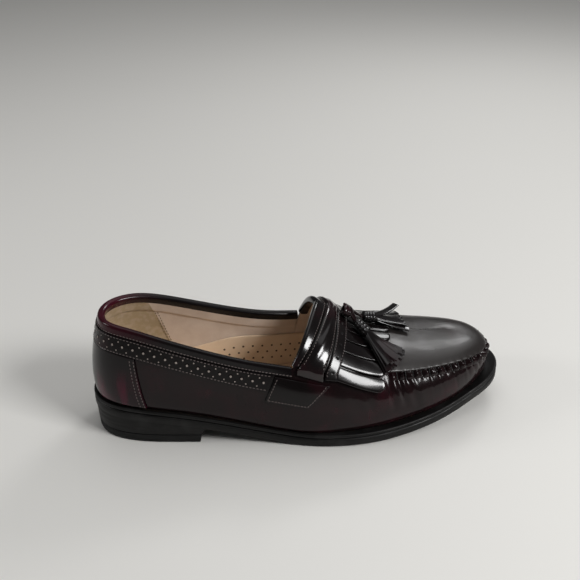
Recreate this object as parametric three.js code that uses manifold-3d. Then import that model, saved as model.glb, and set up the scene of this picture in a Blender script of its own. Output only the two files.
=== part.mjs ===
// Kiltie tassel loafer for the right foot, empty and standing on its sole.
// Millimetres. +X points to the toe, +Y to the inner side of the foot, +Z up.
// Everything above the sole is measured on one surface, the skin: the outside of the bare upper.
import * as THREE from "three";
import Module from "manifold-3d";
import { mergeVertices } from "three/addons/utils/BufferGeometryUtils.js";

const wasm = await Module();
wasm.setup();

// Driving sizes of the sole and the heel
const soleLength = 297; // back of the heel to the tip of the sole
const ballWidth = 104; // the upper's greatest width, twice its outer half
const heelSeat = 28; // floor to the top of the welt at the back of the heel
const toeSpring = 16; // floor to the underside of the sole's tip
const soleThickness = 6;
const weltThickness = 3;
const weltReach = 12; // how far the welt reaches in under the upper
const edgeBevel = 0.8;
const heelLength = 77; // back of the heel to the top of the breast
const breastSlope = 4; // how far the breast leans back on its way down
const heelTaper = 1.2; // how far the heel narrows on its way down
const topPieceThickness = 6;
const footprintStart = 155; // where the sole comes down to the floor behind the ball
const footprintEnd = 185; // where it leaves the floor again
const insoleThickness = 3;

// Driving sizes of the upper
const collarHeight = 86; // floor to the quarters' edge at the back of the heel
const cornerHeight = 57.5; // floor to the quarters' edge where it meets the throat
const instepHeight = 84.5; // floor to the skin's ridge at the throat
const toeHeight = 44.5; // floor to the skin's ridge over the toes
const seamFrontHeight = 37; // floor to the plug's seam at the tip of the toe
const seamLean = 2; // how much lower it would lie on the inner side, half the ball width from the middle
const cornerAt = 141; // distance from the back of the heel to the throat's corners, on average
const cornerSkew = 6; // how much further forward than that the inner corner lies
const throatBow = 7; // how much further forward the throat's edge lies between its corners
const upperWall = 2.2;
const seamRise = 2; // how far the gathered seam round the plug stands up
const seamHalfWidth = 2.5;
const gatherAt = 205; // where the gathers of the seam begin

// Driving sizes of what is sewn on
const overlayWall = 1.2; // counter, brogued strip, saddles
const plugWall = 1.1;
const strapWall = 1.5;
const kiltieWall = 1.2;
const bindingWall = 1;
const bindingLeg = 5; // how far the collar's binding comes down on each side
const bindingRoll = 2; // how far its padded roll stands over the edge
const throatBand = 7.5; // the same binding's outer width along the middle of the throat
const cornerBand = 3; // and at the throat's corners
const stripWidth = 12;
const counterLength = 38.5; // back of the heel to the counter's front edge, above the welt
const counterLean = 6; // how far that edge leans back on its way up
const strapEndWidth = 18;
const strapMiddleWidth = 9;
const slitHeight = 53; // floor to the middle of the strap's ends, where they pass into the saddles
const slitSlant = 0.3; // how steeply the strap's ends run down towards the toe
const saddleLength = 28;
const saddleDrop = 17.8;
const kiltieBase = 7; // uncut leather in front of the strap
const kiltieLength = 72; // throat's corners to the front of the fringe
const kiltieBow = 10; // how much shorter the fringe is at the sides
const kiltieDrop = 12.5; // how far the fringe's front corners lie below the seam
const kiltieStrips = 12;
const stripSlit = 0.9; // width of the cut between two strips of the fringe

// Driving sizes of the tassels
const knotAt = 29; // throat's corners to the middle of the knot
const knotAside = 4; // how far the knot lies to the outer side of the ridge
const knotLength = 12;
const knotHeight = 7;
const thongWidth = 4.5;
const thongWall = 1.8;
const outerThong = 10; // middle of the knot to the outer tassel's cap
const innerThong = 15; // the same for the inner tassel
const outerTurn = 42; // angle between the outer tassel and the line to the toe, in degrees
const innerTurn = 12; // the same for the inner tassel
const capLength = 13;
const capWidth = 9;
const capHeight = 6.5;
const fringeLength = 30;
const fringeSpread = 44; // angle that a tassel's strips fan over, in degrees
const fringeStrips = 6; // strips in the lower layer of each tassel, one more than in the upper
const fringeStripWidth = 4.4;
const fringeStripWall = 1.1;

const gap = 0.3; // clearance between pieces that touch
const drape = 0.3; // more clearance where a piece lies loosely over others
const halfBall = ballWidth / 2;
const lateral = -1;
const medial = 1;
const { clamp, degToRad, lerp, smoothstep } = THREE.MathUtils;

// The widest line of the upper seen from above, once round from the back of the heel by the outer side.
// along: share of the sole's length. across: share of half the ball width.
const outlineRows = [
  { along: 0.011, across: 0.01 },
  { along: 0.03, across: -0.33 },
  { along: 0.093, across: -0.565 },
  { along: 0.2, across: -0.69 },
  { along: 0.315, across: -0.775 },
  { along: 0.427, across: -0.891 },
  { along: 0.533, across: -1.01 },
  { along: 0.633, across: -1.006 },
  { along: 0.733, across: -0.887 },
  { along: 0.83, across: -0.697 },
  { along: 0.907, across: -0.446 },
  { along: 0.955, across: -0.137 },
  { along: 0.963, across: 0.19 },
  { along: 0.942, across: 0.473 },
  { along: 0.884, across: 0.693 },
  { along: 0.8, across: 0.832 },
  { along: 0.707, across: 0.89 },
  { along: 0.613, across: 0.86 },
  { along: 0.517, across: 0.73 },
  { along: 0.417, across: 0.62 },
  { along: 0.317, across: 0.6 },
  { along: 0.207, across: 0.63 },
  { along: 0.093, across: 0.585 },
  { along: 0.03, across: 0.35 },
];

// Cross sections of the last. at: the widest line's place, as a share of the sole's length.
// ridge and lean: where the section's top lies, along the sole's length and across half the ball width.
// top: its height. belly: height of the widest line above the sole. tuck: how far the foot of the wall
// turns in. square: 2 is an ellipse, more is boxier.
const sections = [
  { at: 0.01, ridge: 0.135, lean: 0.0, top: 1.5 * collarHeight, belly: 13, tuck: 1.6, square: 1.6 },
  { at: 0.12, ridge: 0.185, lean: 0.0, top: 1.4 * collarHeight, belly: 13, tuck: 2, square: 1.8 },
  { at: 0.3, ridge: 0.33, lean: 0.02, top: 1.3 * instepHeight, belly: 13, tuck: 2, square: 2 },
  { at: 0.42, ridge: 0.465, lean: 0.06, top: 1.09 * instepHeight, belly: 13, tuck: 1.5, square: 2.1 },
  { at: 0.48, ridge: 0.525, lean: 0.08, top: 0.995 * instepHeight, belly: 13, tuck: 1.5, square: 2.15 },
  { at: 0.55, ridge: 0.577, lean: 0.1, top: 0.86 * instepHeight, belly: 13, tuck: 2.5, square: 2.2 },
  { at: 0.62, ridge: 0.635, lean: 0.11, top: 1.36 * toeHeight, belly: 12, tuck: 3.5, square: 2.3 },
  { at: 0.7, ridge: 0.7, lean: 0.12, top: 1.21 * toeHeight, belly: 12, tuck: 3.5, square: 2.45 },
  { at: 0.78, ridge: 0.765, lean: 0.14, top: 1.11 * toeHeight, belly: 11, tuck: 3, square: 2.65 },
  { at: 0.87, ridge: 0.825, lean: 0.18, top: 1.045 * toeHeight, belly: 10, tuck: 2.5, square: 2.85 },
  { at: 0.98, ridge: 0.865, lean: 0.22, top: toeHeight, belly: 9, tuck: 2, square: 3 },
];

// How far the sole stands out past the widest line of the upper.
const edgeRows = [
  { at: 0.0, reach: 3.1 },
  { at: 0.12, reach: 1.6 },
  { at: 0.3, reach: 1.3 },
  { at: 0.45, reach: 1.1 },
  { at: 0.65, reach: 2.5 },
  { at: 0.83, reach: 2.7 },
  { at: 0.907, reach: 3.5 },
  { at: 0.963, reach: 8.3 },
];

// The quarters' edge from the heel to the throat's corner: share of the way down from back to corner.
const collarRows = [
  { at: 0.0, drop: 0.0 },
  { at: 0.15, drop: 0.03 },
  { at: 0.4, drop: 0.3 },
  { at: 0.6, drop: 0.58 },
  { at: 0.8, drop: 0.83 },
  { at: 1.0, drop: 1.0 },
];

// The plug's seam from the throat's corner to the tip of the toe: share of the way down.
const seamRows = [
  { at: 0.0, drop: 0.0 },
  { at: 0.2, drop: 0.33 },
  { at: 0.42, drop: 0.64 },
  { at: 0.6, drop: 0.81 },
  { at: 0.8, drop: 0.92 },
  { at: 1.0, drop: 1.0 },
];

// Corners of a saddle, from the throat's corner: along the shoe in shares of saddleLength, down in
// shares of saddleDrop.
const saddleCorners = {
  rearFoot: { along: -0.6, down: 1.22 },
  frontFoot: { along: 0.43, down: 1.45 },
  frontTop: { along: 0.93, down: 0.62 },
  rearTop: { along: -0.37, down: 0.22 },
};

// A smooth curve through the points (xs, ys), straight at its ends.
function spline(xs, ys) {
  const n = xs.length;
  const bend = new Array(n).fill(0);
  const diagonal = new Array(n).fill(1);
  const right = new Array(n).fill(0);
  for (let i = 1; i < n - 1; i++) {
    const before = xs[i] - xs[i - 1];
    const after = xs[i + 1] - xs[i];
    const pull = 6 * ((ys[i + 1] - ys[i]) / after - (ys[i] - ys[i - 1]) / before);
    const factor = i > 1 ? before / diagonal[i - 1] : 0;
    diagonal[i] = 2 * (before + after) - factor * before;
    right[i] = pull - factor * right[i - 1];
  }
  for (let i = n - 2; i > 0; i--) {
    const after = xs[i + 1] - xs[i];
    bend[i] = (right[i] - after * bend[i + 1]) / diagonal[i];
  }
  return (x) => {
    let i = 0;
    while (i < n - 2 && x > xs[i + 1]) i++;
    const step = xs[i + 1] - xs[i];
    const b = (x - xs[i]) / step;
    const a = 1 - b;
    const cubic = ((a * a * a - a) * bend[i] + (b * b * b - b) * bend[i + 1]) * (step * step) / 6;
    return a * ys[i] + b * ys[i + 1] + cubic;
  };
}

// One column of a table as a smooth function of the table's first column.
function column(rows, name, key = "at") {
  return spline(rows.map((row) => row[key]), rows.map((row) => row[name]));
}

// The widest line as a closed curve of u, with u from 0 to 1 once round.
const overlapRows = 4; // rows repeated past each end, so that the curve closes smoothly
const wrapped = [
  ...outlineRows.slice(-overlapRows),
  ...outlineRows,
  ...outlineRows.slice(0, overlapRows + 1),
];
const wrappedX = wrapped.map((row) => row.along * soleLength);
const wrappedY = wrapped.map((row) => row.across * halfBall);
const wrappedU = [0];
for (let i = 1; i < wrapped.length; i++) {
  const stride = Math.hypot(wrappedX[i] - wrappedX[i - 1], wrappedY[i] - wrappedY[i - 1]);
  wrappedU.push(wrappedU[i - 1] + stride);
}
const firstU = wrappedU[overlapRows];
const lapU = wrappedU[overlapRows + outlineRows.length] - firstU;
const outlineX = spline(wrappedU, wrappedX);
const outlineY = spline(wrappedU, wrappedY);
function outlineAt(u) {
  const along = firstU + (u - Math.floor(u)) * lapU;
  return new THREE.Vector2(outlineX(along), outlineY(along));
}

// Halvings of a range when a place on a curve is searched for.
const halvings = 40;

// Finds where a smooth function of one value is greatest between two values.
function greatest(f, low, high) {
  for (let i = 0; i < 2 * halvings; i++) {
    const a = low + (high - low) / 3;
    const b = high - (high - low) / 3;
    if (f(a) < f(b)) low = a;
    else high = b;
  }
  return (low + high) / 2;
}
const searchWidth = 0.06; // share of the outline on each side of the ends that is searched
const uHeel = greatest((u) => -outlineAt(u).x, -searchWidth, searchWidth);
const uToe = greatest((u) => outlineAt(u).x, 0.5 - searchWidth, 0.5 + searchWidth);
const heelX = outlineAt(uHeel).x;
const toeX = outlineAt(uToe).x;

// The place u on one side of the outline that lies at distance x from the heel.
function uAt(x, side) {
  let rear = side === lateral ? uHeel : uHeel + 1;
  let front = uToe;
  for (let i = 0; i < halvings; i++) {
    const middle = (rear + front) / 2;
    if (outlineAt(middle).x < x) rear = middle;
    else front = middle;
  }
  return (rear + front) / 2;
}

// Height of the sole's underside: down from the heel's seat, flat under the ball, up at the toe.
const archBend = 1.2; // more than 1 keeps the shank high for longer
const springBend = 1.9;
function soleUnderside(x) {
  if (x < footprintStart) {
    const seat = heelSeat - weltThickness - soleThickness;
    const turn = Math.PI * (Math.max(x, 0) / footprintStart) ** archBend;
    return (seat * (1 + Math.cos(turn))) / 2;
  }
  if (x < footprintEnd) return 0;
  return toeSpring * ((x - footprintEnd) / (soleLength - footprintEnd)) ** springBend;
}
const outsoleTop = (x) => soleUnderside(x) + soleThickness;
const weltTop = (x) => outsoleTop(x) + weltThickness;

const ridgeShare = column(sections, "ridge");
const leanShare = column(sections, "lean");
const topHeight = column(sections, "top");
const bellyHeight = column(sections, "belly");
const tuckDepth = column(sections, "tuck");
const squareness = column(sections, "square");

// One wall of the skin, from the foot at u up to the ridge, as a plane curve of q from 0 to 2.
const wallSteps = 48;
const wallCache = new Map();
function wallAt(u) {
  if (wallCache.has(u)) return wallCache.get(u);
  const widest = outlineAt(u);
  const at = widest.x / soleLength;
  const ridge = new THREE.Vector2(ridgeShare(at) * soleLength, leanShare(at) * halfBall);
  const reach = widest.distanceTo(ridge);
  const out = widest.clone().sub(ridge).divideScalar(reach);
  const tuck = tuckDepth(at);
  const foot = weltTop(ridge.x + out.x * (reach - tuck)) + gap;
  const waist = foot + bellyHeight(at);
  const top = topHeight(at);
  const power = squareness(at);
  const curve = (q) => {
    const turn = ((q - 1) * Math.PI) / 2;
    if (q < 1) return [reach - tuck * (1 - Math.cos(turn)), waist + (waist - foot) * Math.sin(turn)];
    const c = Math.max(Math.cos(turn), 0);
    const s = Math.sin(turn);
    const size = (c ** power + s ** power) ** (-1 / power);
    return [reach * c * size, waist + (top - waist) * s * size];
  };
  const lengths = [0];
  let last = curve(0);
  for (let i = 1; i <= wallSteps; i++) {
    const next = curve((2 * i) / wallSteps);
    lengths.push(lengths[i - 1] + Math.hypot(next[0] - last[0], next[1] - last[1]));
    last = next;
  }
  const wall = { ridge, out, curve, lengths, length: lengths[wallSteps] };
  wallCache.set(u, wall);
  return wall;
}
const perMm = (u) => 1 / wallAt(u).length;

// The point of the skin at u round the outline and share v of the way from the foot to the ridge.
function skinPoint(u, v) {
  const wall = wallAt(u);
  const target = clamp(v, 0, 1) * wall.length;
  let i = 0;
  while (i < wallSteps - 1 && wall.lengths[i + 1] < target) i++;
  const part = (target - wall.lengths[i]) / (wall.lengths[i + 1] - wall.lengths[i]);
  const [r, z] = wall.curve((2 * (i + part)) / wallSteps);
  return new THREE.Vector3(wall.ridge.x + wall.out.x * r, wall.ridge.y + wall.out.y * r, z);
}

// The skin's outward direction at (u, v). At the ridge it is taken across both sides.
const nudgeU = 0.002;
const nudgeV = 0.015;
const nudgeX = 1;
function skinNormal(u, v) {
  if (v > 1 - nudgeV) {
    const x = outlineAt(u).x;
    const ahead = skinPoint(uAt(Math.min(x + nudgeX, toeX), lateral), 1);
    const behind = skinPoint(uAt(Math.max(x - nudgeX, heelX), lateral), 1);
    const outer = skinPoint(uAt(x, lateral), 1 - nudgeV);
    const inner = skinPoint(uAt(x, medial), 1 - nudgeV);
    const over = inner.sub(outer);
    if (over.length() < nudgeV) over.set(0, 1, 0);
    return ahead.sub(behind).cross(over).normalize();
  }
  const along = skinPoint(u + nudgeU, v).sub(skinPoint(u - nudgeU, v));
  const up = skinPoint(u, v + nudgeV).sub(skinPoint(u, Math.max(v - nudgeV, 0)));
  return along.cross(up).normalize();
}
const skin = (u, v, d) => skinPoint(u, v).addScaledVector(skinNormal(u, v), d);

// The share v at which the wall at u reaches a height.
function shareAtHeight(u, height) {
  let low = 0;
  let high = 1;
  for (let i = 0; i < halvings; i++) {
    const middle = (low + high) / 2;
    if (skinPoint(u, middle).z < height) low = middle;
    else high = middle;
  }
  return (low + high) / 2;
}

// In front of the throat a place is named by x and w: w is -1 at the outer foot of the wall, 0 on the
// ridge and 1 at the inner foot. The throat's edge bows forward between its corners.
const cornerW = 0.55;
const cornerX = (w) => cornerAt + cornerSkew * clamp(w / cornerW, -1, 1);
const throatX = (w) => cornerX(w) + throatBow * (1 - Math.min(1, Math.abs(w) / cornerW) ** 3);
const vampX = (t, w) => throatX(w) + (toeX - throatX(w)) * t;
const sideOf = (w) => (w < 0 ? lateral : medial);
const uOver = (x, w) => uAt(x, w === 0 ? lateral : sideOf(w));
const over = (x, w, d) => skin(uOver(x, w), 1 - Math.abs(w), d);

// Edges that the pieces of the upper share
const collarDrop = column(collarRows, "drop");
const seamDrop = column(seamRows, "drop");
const collarZ = (x, side) => {
  const at = clamp((x - heelX) / (throatX(side) - heelX), 0, 1);
  return collarHeight - (collarHeight - cornerHeight) * collarDrop(at);
};
const sideAt = (u) => (((u % 1) + 1) % 1 < uToe ? lateral : medial);
const collarShare = (u) => shareAtHeight(u, collarZ(outlineAt(u).x, sideAt(u)));
const seamZ = (place, side) => {
  const at = clamp((place.x - throatX(side)) / (toeX - throatX(side)), 0, 1);
  const lean = (seamLean * at * place.y) / halfBall;
  return cornerHeight - (cornerHeight - seamFrontHeight) * seamDrop(at) - lean;
};
const seamShare = (u) => shareAtHeight(u, seamZ(outlineAt(u), sideAt(u)));

// A net of four-cornered cells on the skin. Spots that coincide are one spot.
const spotsPerMm = 200;
class Sheet {
  constructor() {
    this.spots = [];
    this.cells = [];
    this.found = new Map();
  }
  spot(u, v, out = 0) {
    const p = skinPoint(u, v);
    const key = [p.x, p.y, p.z].map((n) => Math.round(n * spotsPerMm)).join(",");
    if (!this.found.has(key)) {
      this.found.set(key, this.spots.length);
      this.spots.push({ u, v, out });
    }
    return this.found.get(key);
  }
  over(x, w, out = 0) {
    return this.spot(uOver(x, w), 1 - Math.abs(w), out);
  }
  cell(a, b, c, d) {
    const corners = [a, b, c, d].filter((spot, i, all) => spot !== all[(i + 1) % all.length]);
    if (corners.length > 2) this.cells.push(corners);
  }
  // Joins rows of spots, each row listed in the direction of growing u, from low v to high v.
  rows(net) {
    for (let j = 0; j + 1 < net.length; j++) {
      for (let i = 0; i + 1 < net[j].length; i++) {
        this.cell(net[j][i], net[j][i + 1], net[j + 1][i + 1], net[j + 1][i]);
      }
    }
  }
}

// A closed mesh geometry from points and faces with three or more corners.
function geometryOf(points, faces) {
  const corners = [];
  for (const face of faces) {
    for (let i = 1; i + 1 < face.length; i++) {
      for (const k of [face[0], face[i], face[i + 1]]) corners.push(...points[k].toArray());
    }
  }
  const geometry = new THREE.BufferGeometry();
  geometry.setAttribute("position", new THREE.Float32BufferAttribute(corners, 3));
  geometry.computeVertexNormals();
  return geometry;
}

// Gives a sheet its thickness: an outer face, an inner face and a rim round every free edge.
function thicken(sheet, outerAt, innerAt) {
  const count = sheet.spots.length;
  const outer = sheet.spots.map((s) => skin(s.u, s.v, outerAt(s)));
  const inner = sheet.spots.map((s) => skin(s.u, s.v, innerAt(s)));
  const faces = [];
  const edges = new Set();
  for (const cell of sheet.cells) {
    faces.push(cell, [...cell].reverse().map((k) => k + count));
    cell.forEach((a, i) => edges.add(a + ":" + cell[(i + 1) % cell.length]));
  }
  for (const edge of edges) {
    const [a, b] = edge.split(":").map(Number);
    if (!edges.has(b + ":" + a)) faces.push([b, a, a + count, b + count]);
  }
  return geometryOf([...outer, ...inner], faces);
}

// Heights over the skin at which the sewn-on pieces begin, each clear of the one below it
const overlayFloor = gap + drape;
const looseFloor = overlayFloor + plugWall + gap + drape;
const ornamentFloor = looseFloor + Math.max(strapWall, kiltieWall) + gap + drape;

// A sewn-on piece: a net of rows between two heights over the skin.
function overlay(net, from, wall) {
  const sheet = new Sheet();
  sheet.rows(net(sheet));
  return thicken(sheet, () => from + wall, () => from);
}

// Places from one value to another in equal steps, ends included.
const steps = (from, to, count) =>
  Array.from({ length: count + 1 }, (_, i) => from + ((to - from) * i) / count);

// Columns of the upper round the heel, from the throat's inner corner to its outer corner.
const sideColumns = 18;
const innerCornerU = uAt(throatX(medial), medial) - 1;
const outerCornerU = uAt(throatX(lateral), lateral);
const rearColumns = [
  ...steps(innerCornerU, uHeel, sideColumns),
  ...steps(uHeel, outerCornerU, sideColumns).slice(1),
];
// Those of them that lie further back than a limit on each side, between two ends.
const leastColumn = 2.5;
function columnsBehind(limits, ends) {
  const limitAt = (u) => (u < uHeel ? limits.inner : limits.outer) - leastColumn;
  const kept = rearColumns.filter((u) => outlineAt(u).x < limitAt(u));
  return [uAt(ends.inner, medial) - 1, ...kept, uAt(ends.outer, lateral)];
}

// Rows of the quarters at one column: those of the counter, of the brogued strip and of the binding.
const wallRows = [0, 0.16, 0.34, 0.54, 0.72, 0.8, 0.88, 1];
const counterRows = [0, 0.22, 0.48, 0.74, 1];
const stripTop = bindingLeg + gap;
const stripBottom = stripTop + stripWidth;
function quarterRows(u) {
  const top = collarShare(u);
  const under = top - (stripBottom + gap) * perMm(u);
  return [
    ...counterRows.map((row) => row * under),
    ...[(stripBottom + stripTop) / 2, stripTop, 0].map((below) => top - below * perMm(u)),
  ];
}
const cornerRows = (u) => quarterRows(u).map((v) => v / collarShare(u));
const outerRows = cornerRows(outerCornerU);
const innerRows = cornerRows(innerCornerU);
const vampRow = ({ t, side }, k) => lerp((side === lateral ? outerRows : innerRows)[k], wallRows[k], t);

// Columns of the vamp over the toe, from the throat's outer corner to its inner corner.
const frontColumns = 22;
const frontShares = steps(outerCornerU, uToe, frontColumns).map(
  (u) => (outlineAt(u).x - throatX(lateral)) / (toeX - throatX(lateral)),
);
const vampColumns = [
  ...frontShares.map((t) => ({ t, side: lateral })),
  ...frontShares.slice(0, -1).reverse().map((t) => ({ t, side: medial })),
];
const columnU = ({ t, side }) => uAt(vampX(t, side), side);
const columnSpot = (sheet, { t, side }, v, out) => sheet.over(vampX(t, side * (1 - v)), side * (1 - v), out);

// The upper: quarters open at the collar, and a vamp closed over the toes with the plug's raised seam.
const plugRows = steps(0, 1, 4);
function upperGeometry() {
  const sheet = new Sheet();
  sheet.rows(wallRows.map((_, k) => rearColumns.map((u) => sheet.spot(u, quarterRows(u)[k]))));
  const rise = (u) => smoothstep(outlineAt(u).x, gatherAt - 2 * seamHalfWidth, gatherAt + 2 * seamHalfWidth);
  const net = [];
  for (let k = 0; k < wallRows.length; k++) {
    net.push(vampColumns.map((c) => {
      const u = columnU(c);
      return columnSpot(sheet, c, vampRow(c, k) * (seamShare(u) - seamHalfWidth * perMm(u) * rise(u)));
    }));
  }
  net.push(vampColumns.map((c) => columnSpot(sheet, c, seamShare(columnU(c)), seamRise * rise(columnU(c)))));
  for (const row of plugRows) {
    net.push(vampColumns.map((c) => {
      const start = seamShare(columnU(c)) + seamHalfWidth * perMm(columnU(c));
      return columnSpot(sheet, c, lerp(start, 1, row));
    }));
  }
  sheet.rows(net);
  return thicken(sheet, (s) => s.out, () => -upperWall);
}

// The plug: the panel inside the gathered seam, from the throat's binding to the toe.
function plugGeometry() {
  const rearX = (w) => throatX(w) + bandWidth(w) + gap;
  const columns = vampColumns.filter(({ t, side }) => vampX(t, 0) > rearX(0) + leastColumn);
  const all = [{ t: null, side: lateral }, ...columns, { t: null, side: medial }];
  const placeX = ({ t }, w) => (t === null ? rearX(w) : vampX(t, w));
  return overlay((sheet) => plugRows.map((row) => all.map((c) => {
    const u = uAt(placeX(c, c.side), c.side);
    const v = lerp(seamShare(u) + (seamHalfWidth + gap) * perMm(u), 1, row);
    const w = c.side * (1 - v);
    return sheet.over(placeX(c, w), w);
  })), overlayFloor, plugWall);
}

// The counter, the leather that wraps the heel below the brogued strip.
const counterFoot = 0.03; // share of the wall that the counter leaves bare above the welt
function counterGeometry() {
  const edge = (row) => {
    const x = counterLength - counterLean * row;
    return { inner: x, outer: x };
  };
  return overlay((sheet) => counterRows.map((row, k) =>
    columnsBehind(edge(1), edge(row)).map((u) => sheet.spot(u, Math.max(counterFoot, quarterRows(u)[k])))),
  overlayFloor, overlayWall);
}

// Corners of the saddle on one side, as distance from the heel and height over the floor.
function saddleCorner(name, side) {
  const { along, down } = saddleCorners[name];
  return new THREE.Vector2(throatX(side) + along * saddleLength, cornerHeight - down * saddleDrop);
}
function saddlePlace(side, s, t) {
  const foot = saddleCorner("rearFoot", side).lerp(saddleCorner("frontFoot", side), s);
  const top = saddleCorner("rearTop", side).lerp(saddleCorner("frontTop", side), s);
  return foot.lerp(top, t);
}
function saddleGeometry(side) {
  const across = steps(0, 1, 5);
  if (side === medial) across.reverse();
  return overlay((sheet) => steps(0, 1, 4).map((t) => across.map((s) => {
    const place = saddlePlace(side, s, t);
    const u = uAt(place.x, side);
    return sheet.spot(u, shareAtHeight(u, place.y));
  })), overlayFloor, overlayWall);
}

// The brogued strip under the collar's binding, from saddle to saddle round the heel.
function stripGeometry() {
  const rearEdge = (side, z) => {
    const foot = saddleCorner("rearFoot", side);
    const top = saddleCorner("rearTop", side);
    return lerp(foot.x, top.x, (z - foot.y) / (top.y - foot.y)) - 2 * gap;
  };
  const endAt = (side, below) => {
    let x = saddleCorner("rearFoot", side).x;
    for (let i = 0; i < 4; i++) x = rearEdge(side, collarZ(x, side) - below);
    return x;
  };
  const ends = (below) => ({ inner: endAt(medial, below), outer: endAt(lateral, below) });
  const rowAt = (sheet, below) => {
    const columns = columnsBehind(ends(stripBottom), ends(below));
    return columns.map((u) => sheet.spot(u, collarShare(u) - below * perMm(u)));
  };
  return overlay((sheet) => steps(stripBottom, stripTop, 2).map((below) => rowAt(sheet, below)),
    overlayFloor, overlayWall);
}

// A solid swept through rings of points: closed on itself, or with a flat cap at each end.
function sweep(rings, outline, closed) {
  const size = outline.length;
  const faces = [];
  const last = closed ? rings.length : rings.length - 1;
  for (let k = 0; k < last; k++) {
    const here = k * size;
    const there = ((k + 1) % rings.length) * size;
    for (let i = 0; i < size; i++) {
      const j = (i + 1) % size;
      faces.push([here + i, there + i, there + j, here + j]);
    }
  }
  if (!closed) {
    const end = (rings.length - 1) * size;
    for (const [a, b, c] of THREE.ShapeUtils.triangulateShape(outline, [])) {
      faces.push([a, b, c], [end + c, end + b, end + a]);
    }
  }
  return geometryOf(rings.flat(), faces);
}

// The throat's binding narrows towards the corners.
const bandWidth = (w) => lerp(throatBand, cornerBand, Math.min(1, Math.abs(w) / cornerW) ** 2);

// The binding's section over an edge: x is how far it lies below the edge, y how far out from the skin.
function bindingOutline(leg) {
  const outside = overlayFloor + bindingWall;
  const inner = -upperWall - overlayFloor;
  const inside = inner - bindingWall;
  const swell = bindingWall / 2;
  const rollShoulder = -0.7 * bindingRoll;
  return [
    [leg, outside],
    [0, outside + swell],
    [rollShoulder, outside / 2],
    [-bindingRoll, -upperWall / 2],
    [rollShoulder, inside / 2 - upperWall / 2],
    [0, inside - swell],
    [bindingLeg, inside],
    [bindingLeg, inner],
    [-gap, inner],
    [-gap, overlayFloor],
    [leg, overlayFloor],
  ].map(([x, y]) => new THREE.Vector2(x, y));
}

function collarBindingGeometry() {
  const outline = bindingOutline(bindingLeg);
  const rings = rearColumns.map((u) =>
    outline.map((p) => skin(u, collarShare(u) - p.x * perMm(u), p.y)));
  return sweep(rings, outline, false);
}

function throatBindingGeometry() {
  const clear = bindingRoll + 2 * gap;
  const endW = (side) => {
    const u = uAt(throatX(side), side);
    return side * (1 - collarShare(u) - clear * perMm(u));
  };
  const places = steps(endW(lateral), endW(medial), 16);
  const rings = places.map((w) => bindingOutline(bandWidth(w)).map((p) => over(throatX(w) + p.x, w, p.y)));
  return sweep(rings, bindingOutline(throatBand), false);
}

// The strap over the instep, wide where it passes into the saddles and narrow on the ridge.
const strapRear = (w) => throatX(w) + bandWidth(w) + gap;
const slitMiddle = (side) => strapRear(side) + strapEndWidth / 2;
const slitZ = (x, side) => slitHeight - slitSlant * (x - slitMiddle(side));
const strapEnd = (x, side) => side * (1 - shareAtHeight(uAt(x, side), slitZ(x, side)));
const strapReach = Math.abs(strapEnd(strapRear(lateral), lateral));
const strapFront = (w) => {
  const share = Math.min(1, Math.abs(w) / strapReach);
  return strapRear(w) + lerp(strapMiddleWidth, strapEndWidth, share ** 1.5);
};
function strapGeometry() {
  const parts = steps(0, 1, 3);
  return overlay((sheet) => steps(-1, 1, 16).map((s) => parts.map((part) => {
    const side = sideOf(s);
    const endX = lerp(strapRear(side), strapFront(side), part);
    const w = Math.abs(s) * strapEnd(endX, side);
    return sheet.over(lerp(strapRear(w), strapFront(w), part), w);
  })), looseFloor, strapWall);
}

// The kiltie: a fringe of round-ended strips in front of the strap.
const roundEnd = [
  { along: 0.45, wide: 0.95 },
  { along: 0.8, wide: 0.7 },
  { along: 1, wide: 0.3 },
];
function kiltieGeometry() {
  const sheet = new Sheet();
  const rearX = (w) => strapFront(w) + gap + 2 * drape;
  const rootX = (w) => rearX(w) + kiltieBase;
  // The fringe's outer edge: along the strap's ends at the rear, below the seam at the front.
  const edgeW = (part, side) => {
    const rearW = strapEnd(strapFront(side), side);
    const frontU = uAt(cornerX(side) + kiltieLength - kiltieBow, side);
    const frontW = side * (1 - seamShare(frontU) + kiltieDrop * perMm(frontU));
    return lerp(rearW, frontW, part);
  };
  const frontX = (s, w) => cornerX(w) + kiltieLength - kiltieBow * s * s;
  const wideOf = 2 / kiltieStrips;
  // s runs from -1 to 1 across the fringe, part from 0 at the rear to 1 at the front.
  const place = (s, part) => {
    const side = sideOf(s);
    const w = Math.abs(s) * edgeW(part, side);
    const root = rootX(w);
    const front = frontX(s, w);
    return { w, root, front };
  };
  const spotAt = (s, part) => {
    const { w, root, front } = place(s, part);
    return sheet.over(lerp(root, front, part), w);
  };
  const rearSpot = (s) => {
    const w = Math.abs(s) * edgeW(0, sideOf(s));
    return sheet.over(rearX(w), w);
  };
  const cut = (s, part) => {
    const { w, root, front } = place(s, part);
    return (stripSlit / 2) * perMm(uOver(lerp(root, front, part), w)) / strapReach;
  };
  const straight = steps(0, 1, 3);
  const tops = [];
  for (let k = 0; k < kiltieStrips; k++) {
    const middle = -1 + wideOf * (k + 0.5);
    const half = wideOf / 2 - cut(middle, 0.5);
    const length = frontX(middle, middle * strapReach) - rootX(middle * strapReach);
    const radius = (half * strapReach) / perMm(uOver(rootX(0), 0)) / length;
    const stations = [
      ...straight.map((part) => ({ part: part * (1 - radius), wide: 1 })),
      ...roundEnd.map(({ along, wide }) => ({ part: 1 - radius + radius * along, wide })),
    ];
    const bands = [-1, 0, 1].map((edge) =>
      stations.map(({ part, wide }) => spotAt(middle + edge * half * wide, part)));
    sheet.rows(bands);
    const across = [-1, 0, 1].map((edge) => middle + edge * half);
    tops.push(...across.map((s) => [rearSpot(s), spotAt(s, 0)]));
  }
  sheet.rows(tops);
  return thicken(sheet, () => looseFloor + kiltieWall, () => looseFloor);
}

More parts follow.
